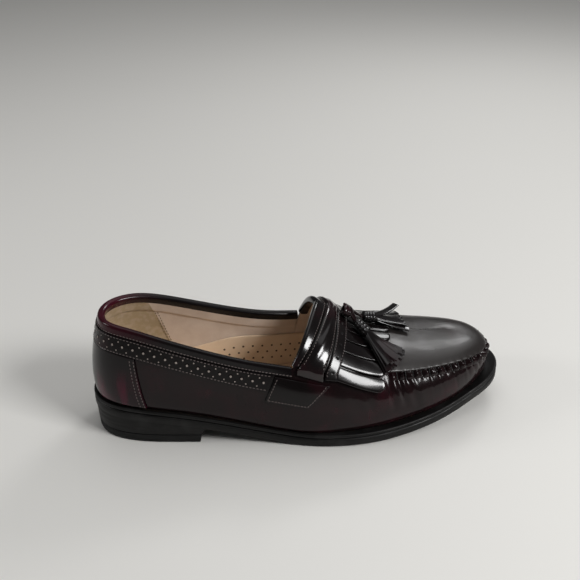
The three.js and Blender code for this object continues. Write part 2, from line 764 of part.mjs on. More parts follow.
// Solids that are joined before they are laid on the shoe, in a flat frame: x forwards, y across, z up.
function solidOf(geometry) {
  const bare = geometry.clone();
  bare.deleteAttribute("normal");
  bare.deleteAttribute("uv");
  const merged = mergeVertices(bare, gap / 1000);
  return new wasm.Manifold(new wasm.Mesh({
    numProp: 3,
    vertProperties: merged.attributes.position.array,
    triVerts: new Uint32Array(merged.index.array),
  }));
}
const joined = (solids) => solids.reduce((whole, solid) => whole.add(solid));

// Lays a joined solid on the shoe: its frame's origin is the middle of the knot.
function lay(solid) {
  const mesh = solid.getMesh();
  const points = [];
  for (let i = 0; i < mesh.numVert; i++) {
    const [x, y, z] = mesh.vertProperties.subarray(i * mesh.numProp, i * mesh.numProp + 3);
    const foot = cornerAt + knotAt + x;
    const aside = y - knotAside;
    points.push(over(foot, aside * perMm(uAt(foot, sideOf(aside))), ornamentFloor + z));
  }
  const faces = [];
  for (let i = 0; i < mesh.triVerts.length; i += 3) faces.push([...mesh.triVerts.subarray(i, i + 3)]);
  return geometryOf(points, faces);
}

// A rounded bar along x with a flattened round section, resting on the floor of the flat frame.
function bar(length, width, height, sides = 10, parts = 3) {
  return new THREE.CylinderGeometry(0.5, 0.5, length, sides, parts)
    .rotateZ(Math.PI / 2)
    .scale(1, width, height)
    .translate(length / 2, 0, height / 2);
}
const plank = (length, width, height, parts) =>
  new THREE.BoxGeometry(length, width, height, parts, 1, 1).translate(length / 2, 0, height / 2);
const turned = (geometry, degrees) => geometry.rotateZ(degToRad(degrees));

const headings = new Map([[lateral, -outerTurn], [medial, innerTurn]]);
const thongs = new Map([[lateral, outerThong], [medial, innerThong]]);

// A tassel: a wrapped cap and two layers of leather strips.
function tasselGeometry(side) {
  const pieces = [bar(capLength, capWidth, capHeight)];
  const root = capLength - fringeStripWidth;
  for (const layer of [0, 1]) {
    const count = fringeStrips - layer;
    const spread = (fringeSpread * (count - 1)) / (fringeStrips - 1);
    for (let i = 0; i < count; i++) {
      const angle = count > 1 ? lerp(-spread / 2, spread / 2, i / (count - 1)) : 0;
      const reach = fringeLength + fringeStripWidth - layer * 2 * fringeStripWall;
      const strip = plank(reach, fringeStripWidth, fringeStripWall, 5);
      strip.translate(0, 0, layer * (fringeStripWall - gap));
      turned(strip, angle).translate(root, 0, 0);
      pieces.push(strip);
    }
  }
  return lay(joined(pieces.map((piece) => {
    piece.translate(thongs.get(side) + gap, 0, 0);
    return solidOf(turned(piece, headings.get(side)));
  })));
}

// The knot: a thong wound round itself, with an arm to each tassel.
function knotGeometry() {
  const wrap = bar(knotLength, 1.2 * thongWidth + thongWall, knotHeight).translate(-knotLength / 2, 0, 0);
  const pieces = [turned(wrap, 90)];
  for (const side of [lateral, medial]) {
    const arm = plank(thongs.get(side), thongWidth, thongWall, 2).translate(0, 0, thongWall / 2);
    pieces.push(turned(arm, headings.get(side)));
    const loop = bar(knotLength, thongWidth, 0.8 * knotHeight).translate(-0.4 * knotLength, 0, 0);
    pieces.push(turned(loop, headings.get(side)));
  }
  return lay(joined(pieces.map(solidOf)));
}

// A point of the outline moved outwards in plan, and the sole's edge.
function outlineOut(u, reach) {
  const tangent = outlineAt(u + nudgeU).sub(outlineAt(u - nudgeU)).normalize();
  return outlineAt(u).add(new THREE.Vector2(tangent.y, -tangent.x).multiplyScalar(reach));
}
const soleReach = column(edgeRows, "reach");
const soleEdge = (u, inset) => outlineOut(u, soleReach(outlineAt(u).x / soleLength) - inset);

// Ribs of the sole: distances from the heel, with the places where its underside changes.
const ribCount = 40;
const ribs = steps(uHeel, uToe, ribCount).map((u) => outlineAt(u).x);
for (const key of [heelLength, footprintStart, footprintEnd]) {
  const away = ribs.map((x) => Math.abs(x - key));
  const nearest = away.indexOf(Math.min(...away));
  ribs[nearest] = key;
}
const soleLoop = [
  ...ribs.map((x) => uAt(x, lateral)),
  ...ribs.slice(1, -1).reverse().map((x) => uAt(x, medial)),
];
const heelRibs = ribs.filter((x) => x <= heelLength);
const heelLoop = [
  ...heelRibs.slice(1).reverse().map((x) => uAt(x, medial) - 1),
  ...heelRibs.map((x) => uAt(x, lateral)),
];
const ring = (loop, planAt, heightAt) =>
  loop.map((u) => {
    const p = planAt(u);
    return new THREE.Vector3(p.x, p.y, heightAt(p.x));
  });

// A solid of stacked rings, from the lowest to the highest, closed below and above by ribs across the
// shoe. A loop that is open has a straight front.
function stack(rings, open) {
  const size = rings[0].length;
  const faces = [];
  for (let k = 0; k + 1 < rings.length; k++) {
    for (let i = 0; i < size; i++) {
      const j = (i + 1) % size;
      faces.push([k * size + i, k * size + j, (k + 1) * size + j, (k + 1) * size + i]);
    }
  }
  const top = (rings.length - 1) * size;
  const partner = (i) => (open ? size - 1 - i : (size - i) % size);
  for (let i = 0; i < Math.floor(size / 2); i++) {
    const quad = [i, partner(i), partner(i + 1), i + 1];
    const corners = quad.filter((p, n, all) => p !== all[(n + 1) % all.length]);
    if (corners.length < 3) continue;
    faces.push(corners, [...corners].reverse().map((p) => p + top));
  }
  return geometryOf(rings.flat(), faces);
}

function outsoleGeometry() {
  return stack([
    ring(soleLoop, (u) => soleEdge(u, edgeBevel), soleUnderside),
    ring(soleLoop, (u) => soleEdge(u, 0), (x) => soleUnderside(x) + edgeBevel),
    ring(soleLoop, (u) => soleEdge(u, 0), (x) => outsoleTop(x) - edgeBevel),
    ring(soleLoop, (u) => soleEdge(u, edgeBevel), outsoleTop),
  ], false);
}

function weltGeometry() {
  const inner = (u) => outlineOut(u, -weltReach);
  const rings = [
    ring(soleLoop, (u) => soleEdge(u, edgeBevel), (x) => outsoleTop(x) + gap),
    ring(soleLoop, (u) => soleEdge(u, 0), (x) => weltTop(x) - edgeBevel),
    ring(soleLoop, (u) => soleEdge(u, edgeBevel), weltTop),
    ring(soleLoop, inner, weltTop),
    ring(soleLoop, inner, (x) => outsoleTop(x) + gap),
  ];
  const stations = soleLoop.map((_, i) => rings.map((points) => points[i]));
  return sweep(stations, rings, true);
}

// The heel leans in on its way down, and its breast leans back.
const heelPlan = (height) => (u) => {
  const full = heelSeat - weltThickness - soleThickness;
  const down = 1 - clamp(height / full, 0, 1);
  const p = soleEdge(u, lerp(edgeBevel / 2, heelTaper, down));
  const back = soleEdge(uHeel, lerp(edgeBevel / 2, heelTaper, down)).x;
  p.x = back + (p.x - back) * (1 - (breastSlope * down) / heelLength);
  return p;
};
function heelBaseGeometry() {
  const low = topPieceThickness + gap;
  return stack([
    ring(heelLoop, heelPlan(low), () => low),
    ring(heelLoop, heelPlan(heelSeat), (x) => soleUnderside(x) - gap),
  ], true);
}
function topPieceGeometry() {
  return stack([
    ring(heelLoop, heelPlan(0), () => 0),
    ring(heelLoop, heelPlan(topPieceThickness), () => topPieceThickness),
  ], true);
}

// The insole: its lower step fills the welt's opening, its upper step lies within the upper.
function insoleGeometry() {
  const inset = (u) => tuckDepth(outlineAt(u).x / soleLength) + upperWall + gap;
  const low = (u) => outlineOut(u, -weltReach - gap);
  const wide = (u) => outlineOut(u, -inset(u));
  const seat = (x) => weltTop(x) + gap;
  return stack([
    ring(soleLoop, low, (x) => outsoleTop(x) + gap),
    ring(soleLoop, low, seat),
    ring(soleLoop, wide, seat),
    ring(soleLoop, wide, (x) => seat(x) + 0.7 * insoleThickness),
    ring(soleLoop, (u) => outlineOut(u, -inset(u) - edgeBevel), (x) => seat(x) + insoleThickness),
  ], false);
}

// Finishes
const polished = { color: 0x24100f, roughness: 0.22, metalness: 0 };
const oxblood = { color: 0x3d0d14, roughness: 0.24, metalness: 0 };
const trim = { color: 0x1c0f10, roughness: 0.28, metalness: 0 };
const soleEdgeFinish = { color: 0x141211, roughness: 0.45, metalness: 0 };
const rubber = { color: 0x171717, roughness: 0.7, metalness: 0 };
const sock = { color: 0xb79d80, roughness: 0.9, metalness: 0 };

const shoe = new THREE.Group();
function add(name, geometry, finish) {
  const mesh = new THREE.Mesh(geometry, new THREE.MeshStandardMaterial(finish));
  mesh.name = name;
  shoe.add(mesh);
  return mesh;
}
add("outsole", outsoleGeometry(), soleEdgeFinish);
add("welt", weltGeometry(), soleEdgeFinish);
add("heel_base", heelBaseGeometry(), soleEdgeFinish);
add("heel_top_piece", topPieceGeometry(), rubber);
add("insole", insoleGeometry(), sock);
add("upper", upperGeometry(), polished);
add("counter", counterGeometry(), oxblood);
add("brogue_strip", stripGeometry(), trim);
add("collar_binding", collarBindingGeometry(), oxblood);
add("throat_binding", throatBindingGeometry(), polished);
add("plug", plugGeometry(), polished);
add("saddle_lateral", saddleGeometry(lateral), polished);
add("saddle_medial", saddleGeometry(medial), polished);
add("instep_strap", strapGeometry(), polished);
add("kiltie", kiltieGeometry(), polished);

// The origin lies on the floor under the middle of the shoe.
const extent = new THREE.Box3().setFromObject(shoe);
const middle = extent.getCenter(new THREE.Vector3());
shoe.position.set(-middle.x, -middle.y, 0);

add("lace_knot", knotGeometry(), trim);
add("tassel_lateral", tasselGeometry(lateral), trim);
add("tassel_medial", tasselGeometry(medial), trim);

export default shoe;
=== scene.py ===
"""Looks of a kiltie tassel loafer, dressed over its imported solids.

Lengths are worked out in millimetres in the shoemaker's own frame (back of the heel at x = 0, toe along
+X, inner side of the foot +Y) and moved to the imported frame, in metres, when a mesh is made.
"""
import logging
import math
from dataclasses import dataclass, field
from enum import Enum
from typing import Callable, Iterable, Sequence

import bmesh
import bpy
import numpy as np
from mathutils import Matrix, Vector


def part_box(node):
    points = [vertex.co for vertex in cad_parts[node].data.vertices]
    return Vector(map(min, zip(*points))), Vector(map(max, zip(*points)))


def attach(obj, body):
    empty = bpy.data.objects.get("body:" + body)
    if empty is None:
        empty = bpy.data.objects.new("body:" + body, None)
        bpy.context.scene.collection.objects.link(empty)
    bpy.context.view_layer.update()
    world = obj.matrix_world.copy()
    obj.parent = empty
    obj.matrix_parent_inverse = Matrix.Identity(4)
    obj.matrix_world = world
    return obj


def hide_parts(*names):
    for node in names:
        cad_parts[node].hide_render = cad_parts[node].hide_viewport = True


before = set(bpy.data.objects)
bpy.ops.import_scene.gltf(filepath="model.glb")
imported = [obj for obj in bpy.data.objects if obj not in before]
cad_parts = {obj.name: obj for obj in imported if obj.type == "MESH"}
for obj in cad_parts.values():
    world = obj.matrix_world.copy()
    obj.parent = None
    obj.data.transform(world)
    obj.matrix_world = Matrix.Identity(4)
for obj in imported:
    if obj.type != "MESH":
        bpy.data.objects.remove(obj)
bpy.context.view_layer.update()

log = logging.getLogger("loafer")
Array = np.ndarray
LATERAL, MEDIAL = -1, 1
FORWARDS, UPWARDS = (1.0, 0.0, 0.0), (0.0, 0.0, 1.0)


class Spline:
    """A smooth curve through points, straight at its ends."""

    def __init__(self, xs: Sequence[float], ys: Sequence[float]) -> None:
        """Solves the curve's bends.

        Args:
            xs: places along the curve, growing.
            ys: values there.
        """
        self.xs, self.ys = np.asarray(xs, float), np.asarray(ys, float)
        n, step = len(self.xs), np.diff(self.xs)
        slope = np.diff(self.ys) / step
        system = np.eye(n)
        right = np.zeros(n)
        for i in range(1, n - 1):
            system[i, i - 1 : i + 2] = step[i - 1], 2 * (step[i - 1] + step[i]), step[i]
            right[i] = 6 * (slope[i] - slope[i - 1])
        self.bend = np.linalg.solve(system, right)

    def __call__(self, x: Array | float) -> Array:
        """The curve's value at x."""
        x = np.asarray(x, float)
        i = np.clip(np.searchsorted(self.xs, x, side="left") - 1, 0, len(self.xs) - 2)
        step = self.xs[i + 1] - self.xs[i]
        b = (x - self.xs[i]) / step
        a = 1 - b
        cubic = ((a**3 - a) * self.bend[i] + (b**3 - b) * self.bend[i + 1]) * step**2 / 6
        return a * self.ys[i] + b * self.ys[i + 1] + cubic


def smoothstep(x: Array | float, low: float, high: float) -> Array:
    """A soft step from 0 at low to 1 at high."""
    t = np.clip((np.asarray(x, float) - low) / (high - low), 0, 1)
    return t * t * (3 - 2 * t)


@dataclass(frozen=True)
class Sizes:
    """The shoe's driving sizes in millimetres, as in the part's source."""

    sole_length: float = 297.0
    ball_width: float = 104.0
    heel_seat: float = 28.0
    toe_spring: float = 16.0
    sole_wall: float = 6.0
    welt_wall: float = 3.0
    welt_reach: float = 12.0
    heel_length: float = 77.0
    breast_slope: float = 4.0
    heel_taper: float = 1.2
    top_piece: float = 6.0
    footprint: tuple[float, float] = (155.0, 185.0)
    collar_height: float = 86.0
    corner_height: float = 57.5
    instep_height: float = 84.5
    toe_height: float = 44.5
    seam_front: float = 37.0
    seam_lean: float = 2.0
    corner_at: float = 141.0
    corner_skew: float = 6.0
    throat_bow: float = 7.0
    corner_w: float = 0.55
    upper_wall: float = 2.2
    seam_rise: float = 2.0
    seam_half: float = 2.5
    gather_at: float = 205.0
    overlay_wall: float = 1.2
    plug_wall: float = 1.1
    strap_wall: float = 1.5
    kiltie_wall: float = 1.2
    binding_wall: float = 1.0
    binding_leg: float = 5.0
    binding_roll: float = 2.0
    throat_band: float = 7.5
    corner_band: float = 3.0
    strip_width: float = 12.0
    counter_length: float = 38.5
    counter_lean: float = 6.0
    strap_end: float = 18.0
    strap_middle: float = 9.0
    slit_height: float = 53.0
    slit_slant: float = 0.3
    saddle_length: float = 28.0
    saddle_drop: float = 17.8
    kiltie_base: float = 7.0
    kiltie_length: float = 72.0
    kiltie_bow: float = 10.0
    kiltie_drop: float = 12.5
    kiltie_strips: int = 12
    strip_slit: float = 0.9
    knot_at: float = 29.0
    knot_aside: float = 4.0
    heel_lining_slant: float = 0.333
    gap: float = 0.3
    drape: float = 0.3

    @property
    def overlay_floor(self) -> float:
        """Height of the overlays over the skin."""
        return self.gap + self.drape

    @property
    def loose_floor(self) -> float:
        """Height of strap and kiltie over the skin."""
        return self.overlay_floor + self.plug_wall + self.gap + self.drape

    @property
    def ornament_floor(self) -> float:
        """Height of knot and tassels over the skin."""
        return self.loose_floor + max(self.strap_wall, self.kiltie_wall) + self.gap + self.drape


S = Sizes()

# along: share of the sole's length. across: share of half the ball width.
OUTLINE = (
    (0.011, 0.01), (0.03, -0.33), (0.093, -0.565), (0.2, -0.69), (0.315, -0.775), (0.427, -0.891),
    (0.533, -1.01), (0.633, -1.006), (0.733, -0.887), (0.83, -0.697), (0.907, -0.446), (0.955, -0.137),
    (0.963, 0.19), (0.942, 0.473), (0.884, 0.693), (0.8, 0.832), (0.707, 0.89), (0.613, 0.86),
    (0.517, 0.73), (0.417, 0.62), (0.317, 0.6), (0.207, 0.63), (0.093, 0.585), (0.03, 0.35),
)
# at, ridge, lean, top, belly, tuck, square: the last's cross sections
SECTIONS = (
    (0.01, 0.135, 0.0, 1.5 * S.collar_height, 13, 1.6, 1.6),
    (0.12, 0.185, 0.0, 1.4 * S.collar_height, 13, 2, 1.8),
    (0.3, 0.33, 0.02, 1.3 * S.instep_height, 13, 2, 2),
    (0.42, 0.465, 0.06, 1.09 * S.instep_height, 13, 1.5, 2.1),
    (0.48, 0.525, 0.08, 0.995 * S.instep_height, 13, 1.5, 2.15),
    (0.55, 0.577, 0.1, 0.86 * S.instep_height, 13, 2.5, 2.2),
    (0.62, 0.635, 0.11, 1.36 * S.toe_height, 12, 3.5, 2.3),
    (0.7, 0.7, 0.12, 1.21 * S.toe_height, 12, 3.5, 2.45),
    (0.78, 0.765, 0.14, 1.11 * S.toe_height, 11, 3, 2.65),
    (0.87, 0.825, 0.18, 1.045 * S.toe_height, 10, 2.5, 2.85),
    (0.98, 0.865, 0.22, S.toe_height, 9, 2, 3),
)
# share of the sole's length, and how far the sole reaches past the widest line there
EDGE = (
    (0.0, 3.1), (0.12, 1.6), (0.3, 1.3), (0.45, 1.1), (0.65, 2.5), (0.83, 2.7), (0.907, 3.5), (0.963, 8.3),
)
COLLAR = ((0.0, 0.0), (0.15, 0.03), (0.4, 0.3), (0.6, 0.58), (0.8, 0.83), (1.0, 1.0))
SEAM = ((0.0, 0.0), (0.2, 0.33), (0.42, 0.64), (0.6, 0.81), (0.8, 0.92), (1.0, 1.0))
# along and down from the throat's corner, in shares of the saddle's length and drop
SADDLE = {
    "rear_foot": (-0.6, 1.22), "front_foot": (0.43, 1.45),
    "front_top": (0.93, 0.62), "rear_top": (-0.37, 0.22),
}


class Last:
    """The skin of the bare upper as a function of u round the outline and v up the wall."""

    WALL_STEPS = 48
    NUDGE_U, NUDGE_V, NUDGE_X = 0.002, 0.015, 1.0

    def __init__(self) -> None:
        """Reads the tables into smooth functions."""
        rows = np.array(OUTLINE)
        wrapped = np.vstack([rows[-4:], rows, rows[:5]]) * (S.sole_length, S.ball_width / 2)
        stride = np.hypot(*np.diff(wrapped, axis=0).T)
        u = np.concatenate([[0], np.cumsum(stride)])
        self.first, self.lap = u[4], u[4 + len(rows)] - u[4]
        self.outline_x, self.outline_y = Spline(u, wrapped[:, 0]), Spline(u, wrapped[:, 1])
        table = np.array(SECTIONS)
        names = ("ridge", "lean", "top", "belly", "tuck", "square")
        self.column = {name: Spline(table[:, 0], table[:, k + 1]) for k, name in enumerate(names)}
        self.reach = Spline(*np.array(EDGE).T)
        self.collar_drop, self.seam_drop = Spline(*np.array(COLLAR).T), Spline(*np.array(SEAM).T)
        near = np.linspace(-0.06, 0.06, 40001)
        self.u_heel = near[np.argmin(self.outline(near)[:, 0])]
        self.u_toe = 0.5 + near[np.argmax(self.outline(0.5 + near)[:, 0])]
        self.heel_x, self.toe_x = self.outline(self.u_heel)[0], self.outline(self.u_toe)[0]
        bend = (1 - np.cos(np.linspace(0, math.pi, 8001))) / 2
        self._side_u = {
            LATERAL: self.u_heel + (self.u_toe - self.u_heel) * bend,
            MEDIAL: self.u_heel + 1 + (self.u_toe - self.u_heel - 1) * bend,
        }
        self._side_x = {
            side: np.maximum.accumulate(self.outline(u)[:, 0]) for side, u in self._side_u.items()
        }

    def outline(self, u: Array | float) -> Array:
        """Plan points of the widest line at u."""
        along = self.first + (np.asarray(u, float) % 1.0) * self.lap
        return np.stack([self.outline_x(along), self.outline_y(along)], axis=-1)

    def u_at(self, x: Array | float, side: Array | int) -> Array:
        """The place u that lies x from the heel on a side.

        Args:
            x: distance from the heel, one or many.
            side: LATERAL or MEDIAL, one or many.

        Returns:
            The places, between the heel's u and the heel's u plus 1.
        """
        outer = np.interp(x, self._side_x[LATERAL], self._side_u[LATERAL])
        inner = np.interp(x, self._side_x[MEDIAL], self._side_u[MEDIAL])
        return np.where(np.asarray(side) < 0, outer, inner)

    def side_of(self, u: Array) -> Array:
        """LATERAL or MEDIAL for places u."""
        return np.where((np.asarray(u) % 1.0) < self.u_toe, LATERAL, MEDIAL)

    def _walls(self, u: Array) -> dict[str, Array]:
        """The wall curves at some places u, with their lengths along a fixed number of steps."""
        widest = self.outline(u)
        at = widest[:, 0] / S.sole_length
        col = self.column
        ridge = np.stack([col["ridge"](at) * S.sole_length, col["lean"](at) * S.ball_width / 2], axis=1)
        delta = widest - ridge
        reach = np.hypot(*delta.T)
        out = delta / reach[:, None]
        tuck = col["tuck"](at)
        foot = welt_top(ridge[:, 0] + out[:, 0] * (reach - tuck)) + S.gap
        wall = {
            "ridge": ridge, "out": out, "reach": reach, "tuck": tuck, "foot": foot,
            "waist": foot + col["belly"](at), "top": col["top"](at), "power": col["square"](at),
        }
        q = np.linspace(0, 2, self.WALL_STEPS + 1)
        wide = {key: value[:, None] for key, value in wall.items() if value.ndim == 1}
        r, z = self._curve(wide, q[None, :])
        steps = np.hypot(np.diff(r, axis=1), np.diff(z, axis=1))
        wall["lengths"] = np.concatenate([np.zeros((len(r), 1)), np.cumsum(steps, axis=1)], axis=1)
        return wall

    @staticmethod
    def _curve(wall: dict[str, Array], q: Array) -> tuple[Array, Array]:
        """Distance from the ridge and height at q from 0 to 2 up a wall."""
        turn = (q - 1) * math.pi / 2
        low_r = wall["reach"] - wall["tuck"] * (1 - np.cos(turn))
        low_z = wall["waist"] + (wall["waist"] - wall["foot"]) * np.sin(turn)
        c, s = np.maximum(np.cos(turn), 0), np.clip(np.sin(turn), 0, 1)
        size = (c ** wall["power"] + s ** wall["power"]) ** (-1 / wall["power"])
        high_r, high_z = wall["reach"] * c * size, wall["waist"] + (wall["top"] - wall["waist"]) * s * size
        return np.where(q < 1, low_r, high_r), np.where(q < 1, low_z, high_z)

    def point(self, u: Array | float, v: Array | float) -> Array:
        """Points of the skin at u and share v of the way up the wall."""
        u, v = np.broadcast_arrays(np.asarray(u, float), np.asarray(v, float))
        places, back = np.unique(u.ravel(), return_inverse=True)
        wall = self._walls(places)
        lengths = wall["lengths"][back]
        target = np.clip(v.ravel(), 0, 1) * lengths[:, -1]
        i = np.clip((lengths[:, 1:] < target[:, None]).sum(axis=1), 0, self.WALL_STEPS - 1)
        pick = np.arange(len(i))
        part = (target - lengths[pick, i]) / (lengths[pick, i + 1] - lengths[pick, i])
        flat = {key: value[back] for key, value in wall.items() if value.ndim == 1}
        r, z = self._curve(flat, 2 * (i + part) / self.WALL_STEPS)
        plan = wall["ridge"][back] + wall["out"][back] * r[:, None]
        return np.column_stack([plan, z]).reshape(u.shape + (3,))

    def length(self, u: Array | float) -> Array:
        """Length of the wall at u, from its foot to the ridge."""
        u = np.asarray(u, float)
        places, back = np.unique(u.ravel(), return_inverse=True)
        return self._walls(places)["lengths"][back, -1].reshape(u.shape)

    def normal(self, u: Array, v: Array) -> Array:
        """The skin's outward directions."""
        u, v = np.broadcast_arrays(np.asarray(u, float), np.asarray(v, float))
        along = self.point(u + self.NUDGE_U, v) - self.point(u - self.NUDGE_U, v)
        up = self.point(u, v + self.NUDGE_V) - self.point(u, np.maximum(v - self.NUDGE_V, 0))
        normal = np.cross(along, up)
        crest = v > 1 - self.NUDGE_V
        if crest.any():
            x = self.outline(u[crest])[:, 0]
            ahead = self.point(self.u_at(np.minimum(x + self.NUDGE_X, self.toe_x), LATERAL), 1.0)
            behind = self.point(self.u_at(np.maximum(x - self.NUDGE_X, self.heel_x), LATERAL), 1.0)
            outer = self.point(self.u_at(x, LATERAL), 1 - self.NUDGE_V)
            inner = self.point(self.u_at(x, MEDIAL), 1 - self.NUDGE_V)
            over = inner - outer
            over[np.linalg.norm(over, axis=1) < self.NUDGE_V] = (0, 1, 0)
            normal[crest] = np.cross(ahead - behind, over)
        return normal / np.maximum(np.linalg.norm(normal, axis=-1, keepdims=True), 1e-12)

    def at(self, u: Array, v: Array, d: Array | float) -> Array:
        """Points at a distance d outside the skin."""
        d = np.broadcast_to(np.asarray(d, float), np.broadcast(u, v).shape)
        return self.point(u, v) + self.normal(u, v) * d[..., None]

    def share_at(self, u: Array, height: Array) -> Array:
        """The share v at which the walls at u reach a height."""
        u, height = np.broadcast_arrays(np.asarray(u, float), np.asarray(height, float))
        low, high = np.zeros(u.shape), np.ones(u.shape)
        for _ in range(24):
            middle = (low + high) / 2
            below = self.point(u, middle)[..., 2] < height
            low, high = np.where(below, middle, low), np.where(below, high, middle)
        return (low + high) / 2

    def uv_over(self, x: Array, w: Array) -> tuple[Array, Array]:
        """The place (u, v) of x from the heel and w across: -1 outer foot, 0 ridge, 1 inner foot."""
        x, w = np.broadcast_arrays(np.asarray(x, float), np.asarray(w, float))
        return self.u_at(x, np.where(w > 0, MEDIAL, LATERAL)), 1 - np.abs(w)

    def over(self, x: Array, w: Array, d: Array | float) -> Array:
        """Points over the instep and toe, at a distance d outside the skin."""
        return self.at(*self.uv_over(x, w), d)

    def aside(self, x: Array, y: Array, d: Array | float) -> Array:
        """Points x from the heel and y millimetres round the skin from its ridge."""
        x, y, d = np.broadcast_arrays(*(np.asarray(value, float) for value in (x, y, d)))
        side = np.where(y > 0, MEDIAL, LATERAL)
        return self.over(x, y / self.length(self.u_at(x, side)), d)

    def corner_x(self, w: Array | float) -> Array:
        """Where the throat's corner line lies."""
        return S.corner_at + S.corner_skew * np.clip(np.asarray(w, float) / S.corner_w, -1, 1)

    def throat_x(self, w: Array | float) -> Array:
        """Where the throat's edge lies."""
        bow = 1 - np.minimum(1, np.abs(w) / S.corner_w) ** 3
        return self.corner_x(w) + S.throat_bow * bow

    def vamp_x(self, t: Array, w: Array) -> Array:
        """A share t of the way from the throat's edge to the toe."""
        rear = self.throat_x(w)
        return rear + (self.toe_x - rear) * t

    def collar_share(self, u: Array) -> Array:
        """Share v of the quarters' top edge."""
        side = self.side_of(u)
        at = np.clip((self.outline(u)[..., 0] - self.heel_x) / (self.throat_x(side) - self.heel_x), 0, 1)
        return self.share_at(u, S.collar_height - (S.collar_height - S.corner_height) * self.collar_drop(at))

    def seam_share(self, u: Array) -> Array:
        """Share v of the apron's seam."""
        rear = self.throat_x(self.side_of(u))
        at = np.clip((self.outline(u)[..., 0] - rear) / (self.toe_x - rear), 0, 1)
        across = self.outline(u)[..., 1] / (S.ball_width / 2)
        drop = (S.corner_height - S.seam_front) * self.seam_drop(at) + S.seam_lean * across * at
        return self.share_at(u, S.corner_height - drop)

    def edge(self, u: Array, inset: float) -> Array:
        """Plan points of the sole's edge, moved in by a distance."""
        return self.outset(u, self.reach(self.outline(u)[..., 0] / S.sole_length) - inset)

    def outset(self, u: Array, reach: Array | float) -> Array:
        """Plan points of the widest line, moved out by a distance."""
        along = self.outline(u + self.NUDGE_U) - self.outline(u - self.NUDGE_U)
        along = along / np.linalg.norm(along, axis=-1, keepdims=True)
        side = np.stack([along[..., 1], -along[..., 0]], axis=-1)
        return self.outline(u) + side * np.asarray(reach)[..., None]


def sole_underside(x: Array | float) -> Array:
    """Height of the sole's underside."""
    x = np.asarray(x, float)
    seat = S.heel_seat - S.welt_wall - S.sole_wall
    start, end = S.footprint
    turn = math.pi * (np.clip(x, 0, start) / start) ** 1.2
    arch = seat * (1 + np.cos(turn)) / 2
    toe = S.toe_spring * (np.maximum(x - end, 0) / (S.sole_length - end)) ** 1.9
    return np.where(x < start, arch, toe)


def welt_top(x: Array | float) -> Array:
    """Height of the welt's upper face."""
    return sole_underside(x) + S.sole_wall + S.welt_wall


LAST = Last()
_BASE = LAST.edge(np.linspace(0, 1, 4001), 0.0)
_LOW, _HIGH = (np.array(corner) * 1000 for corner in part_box("outsole"))
SHIFT = np.array([
    (_LOW[0] + _HIGH[0]) / 2 - (_BASE[:, 0].min() + _BASE[:, 0].max()) / 2,
    (_LOW[1] + _HIGH[1]) / 2 - (_BASE[:, 1].min() + _BASE[:, 1].max()) / 2,
    0.0,
])


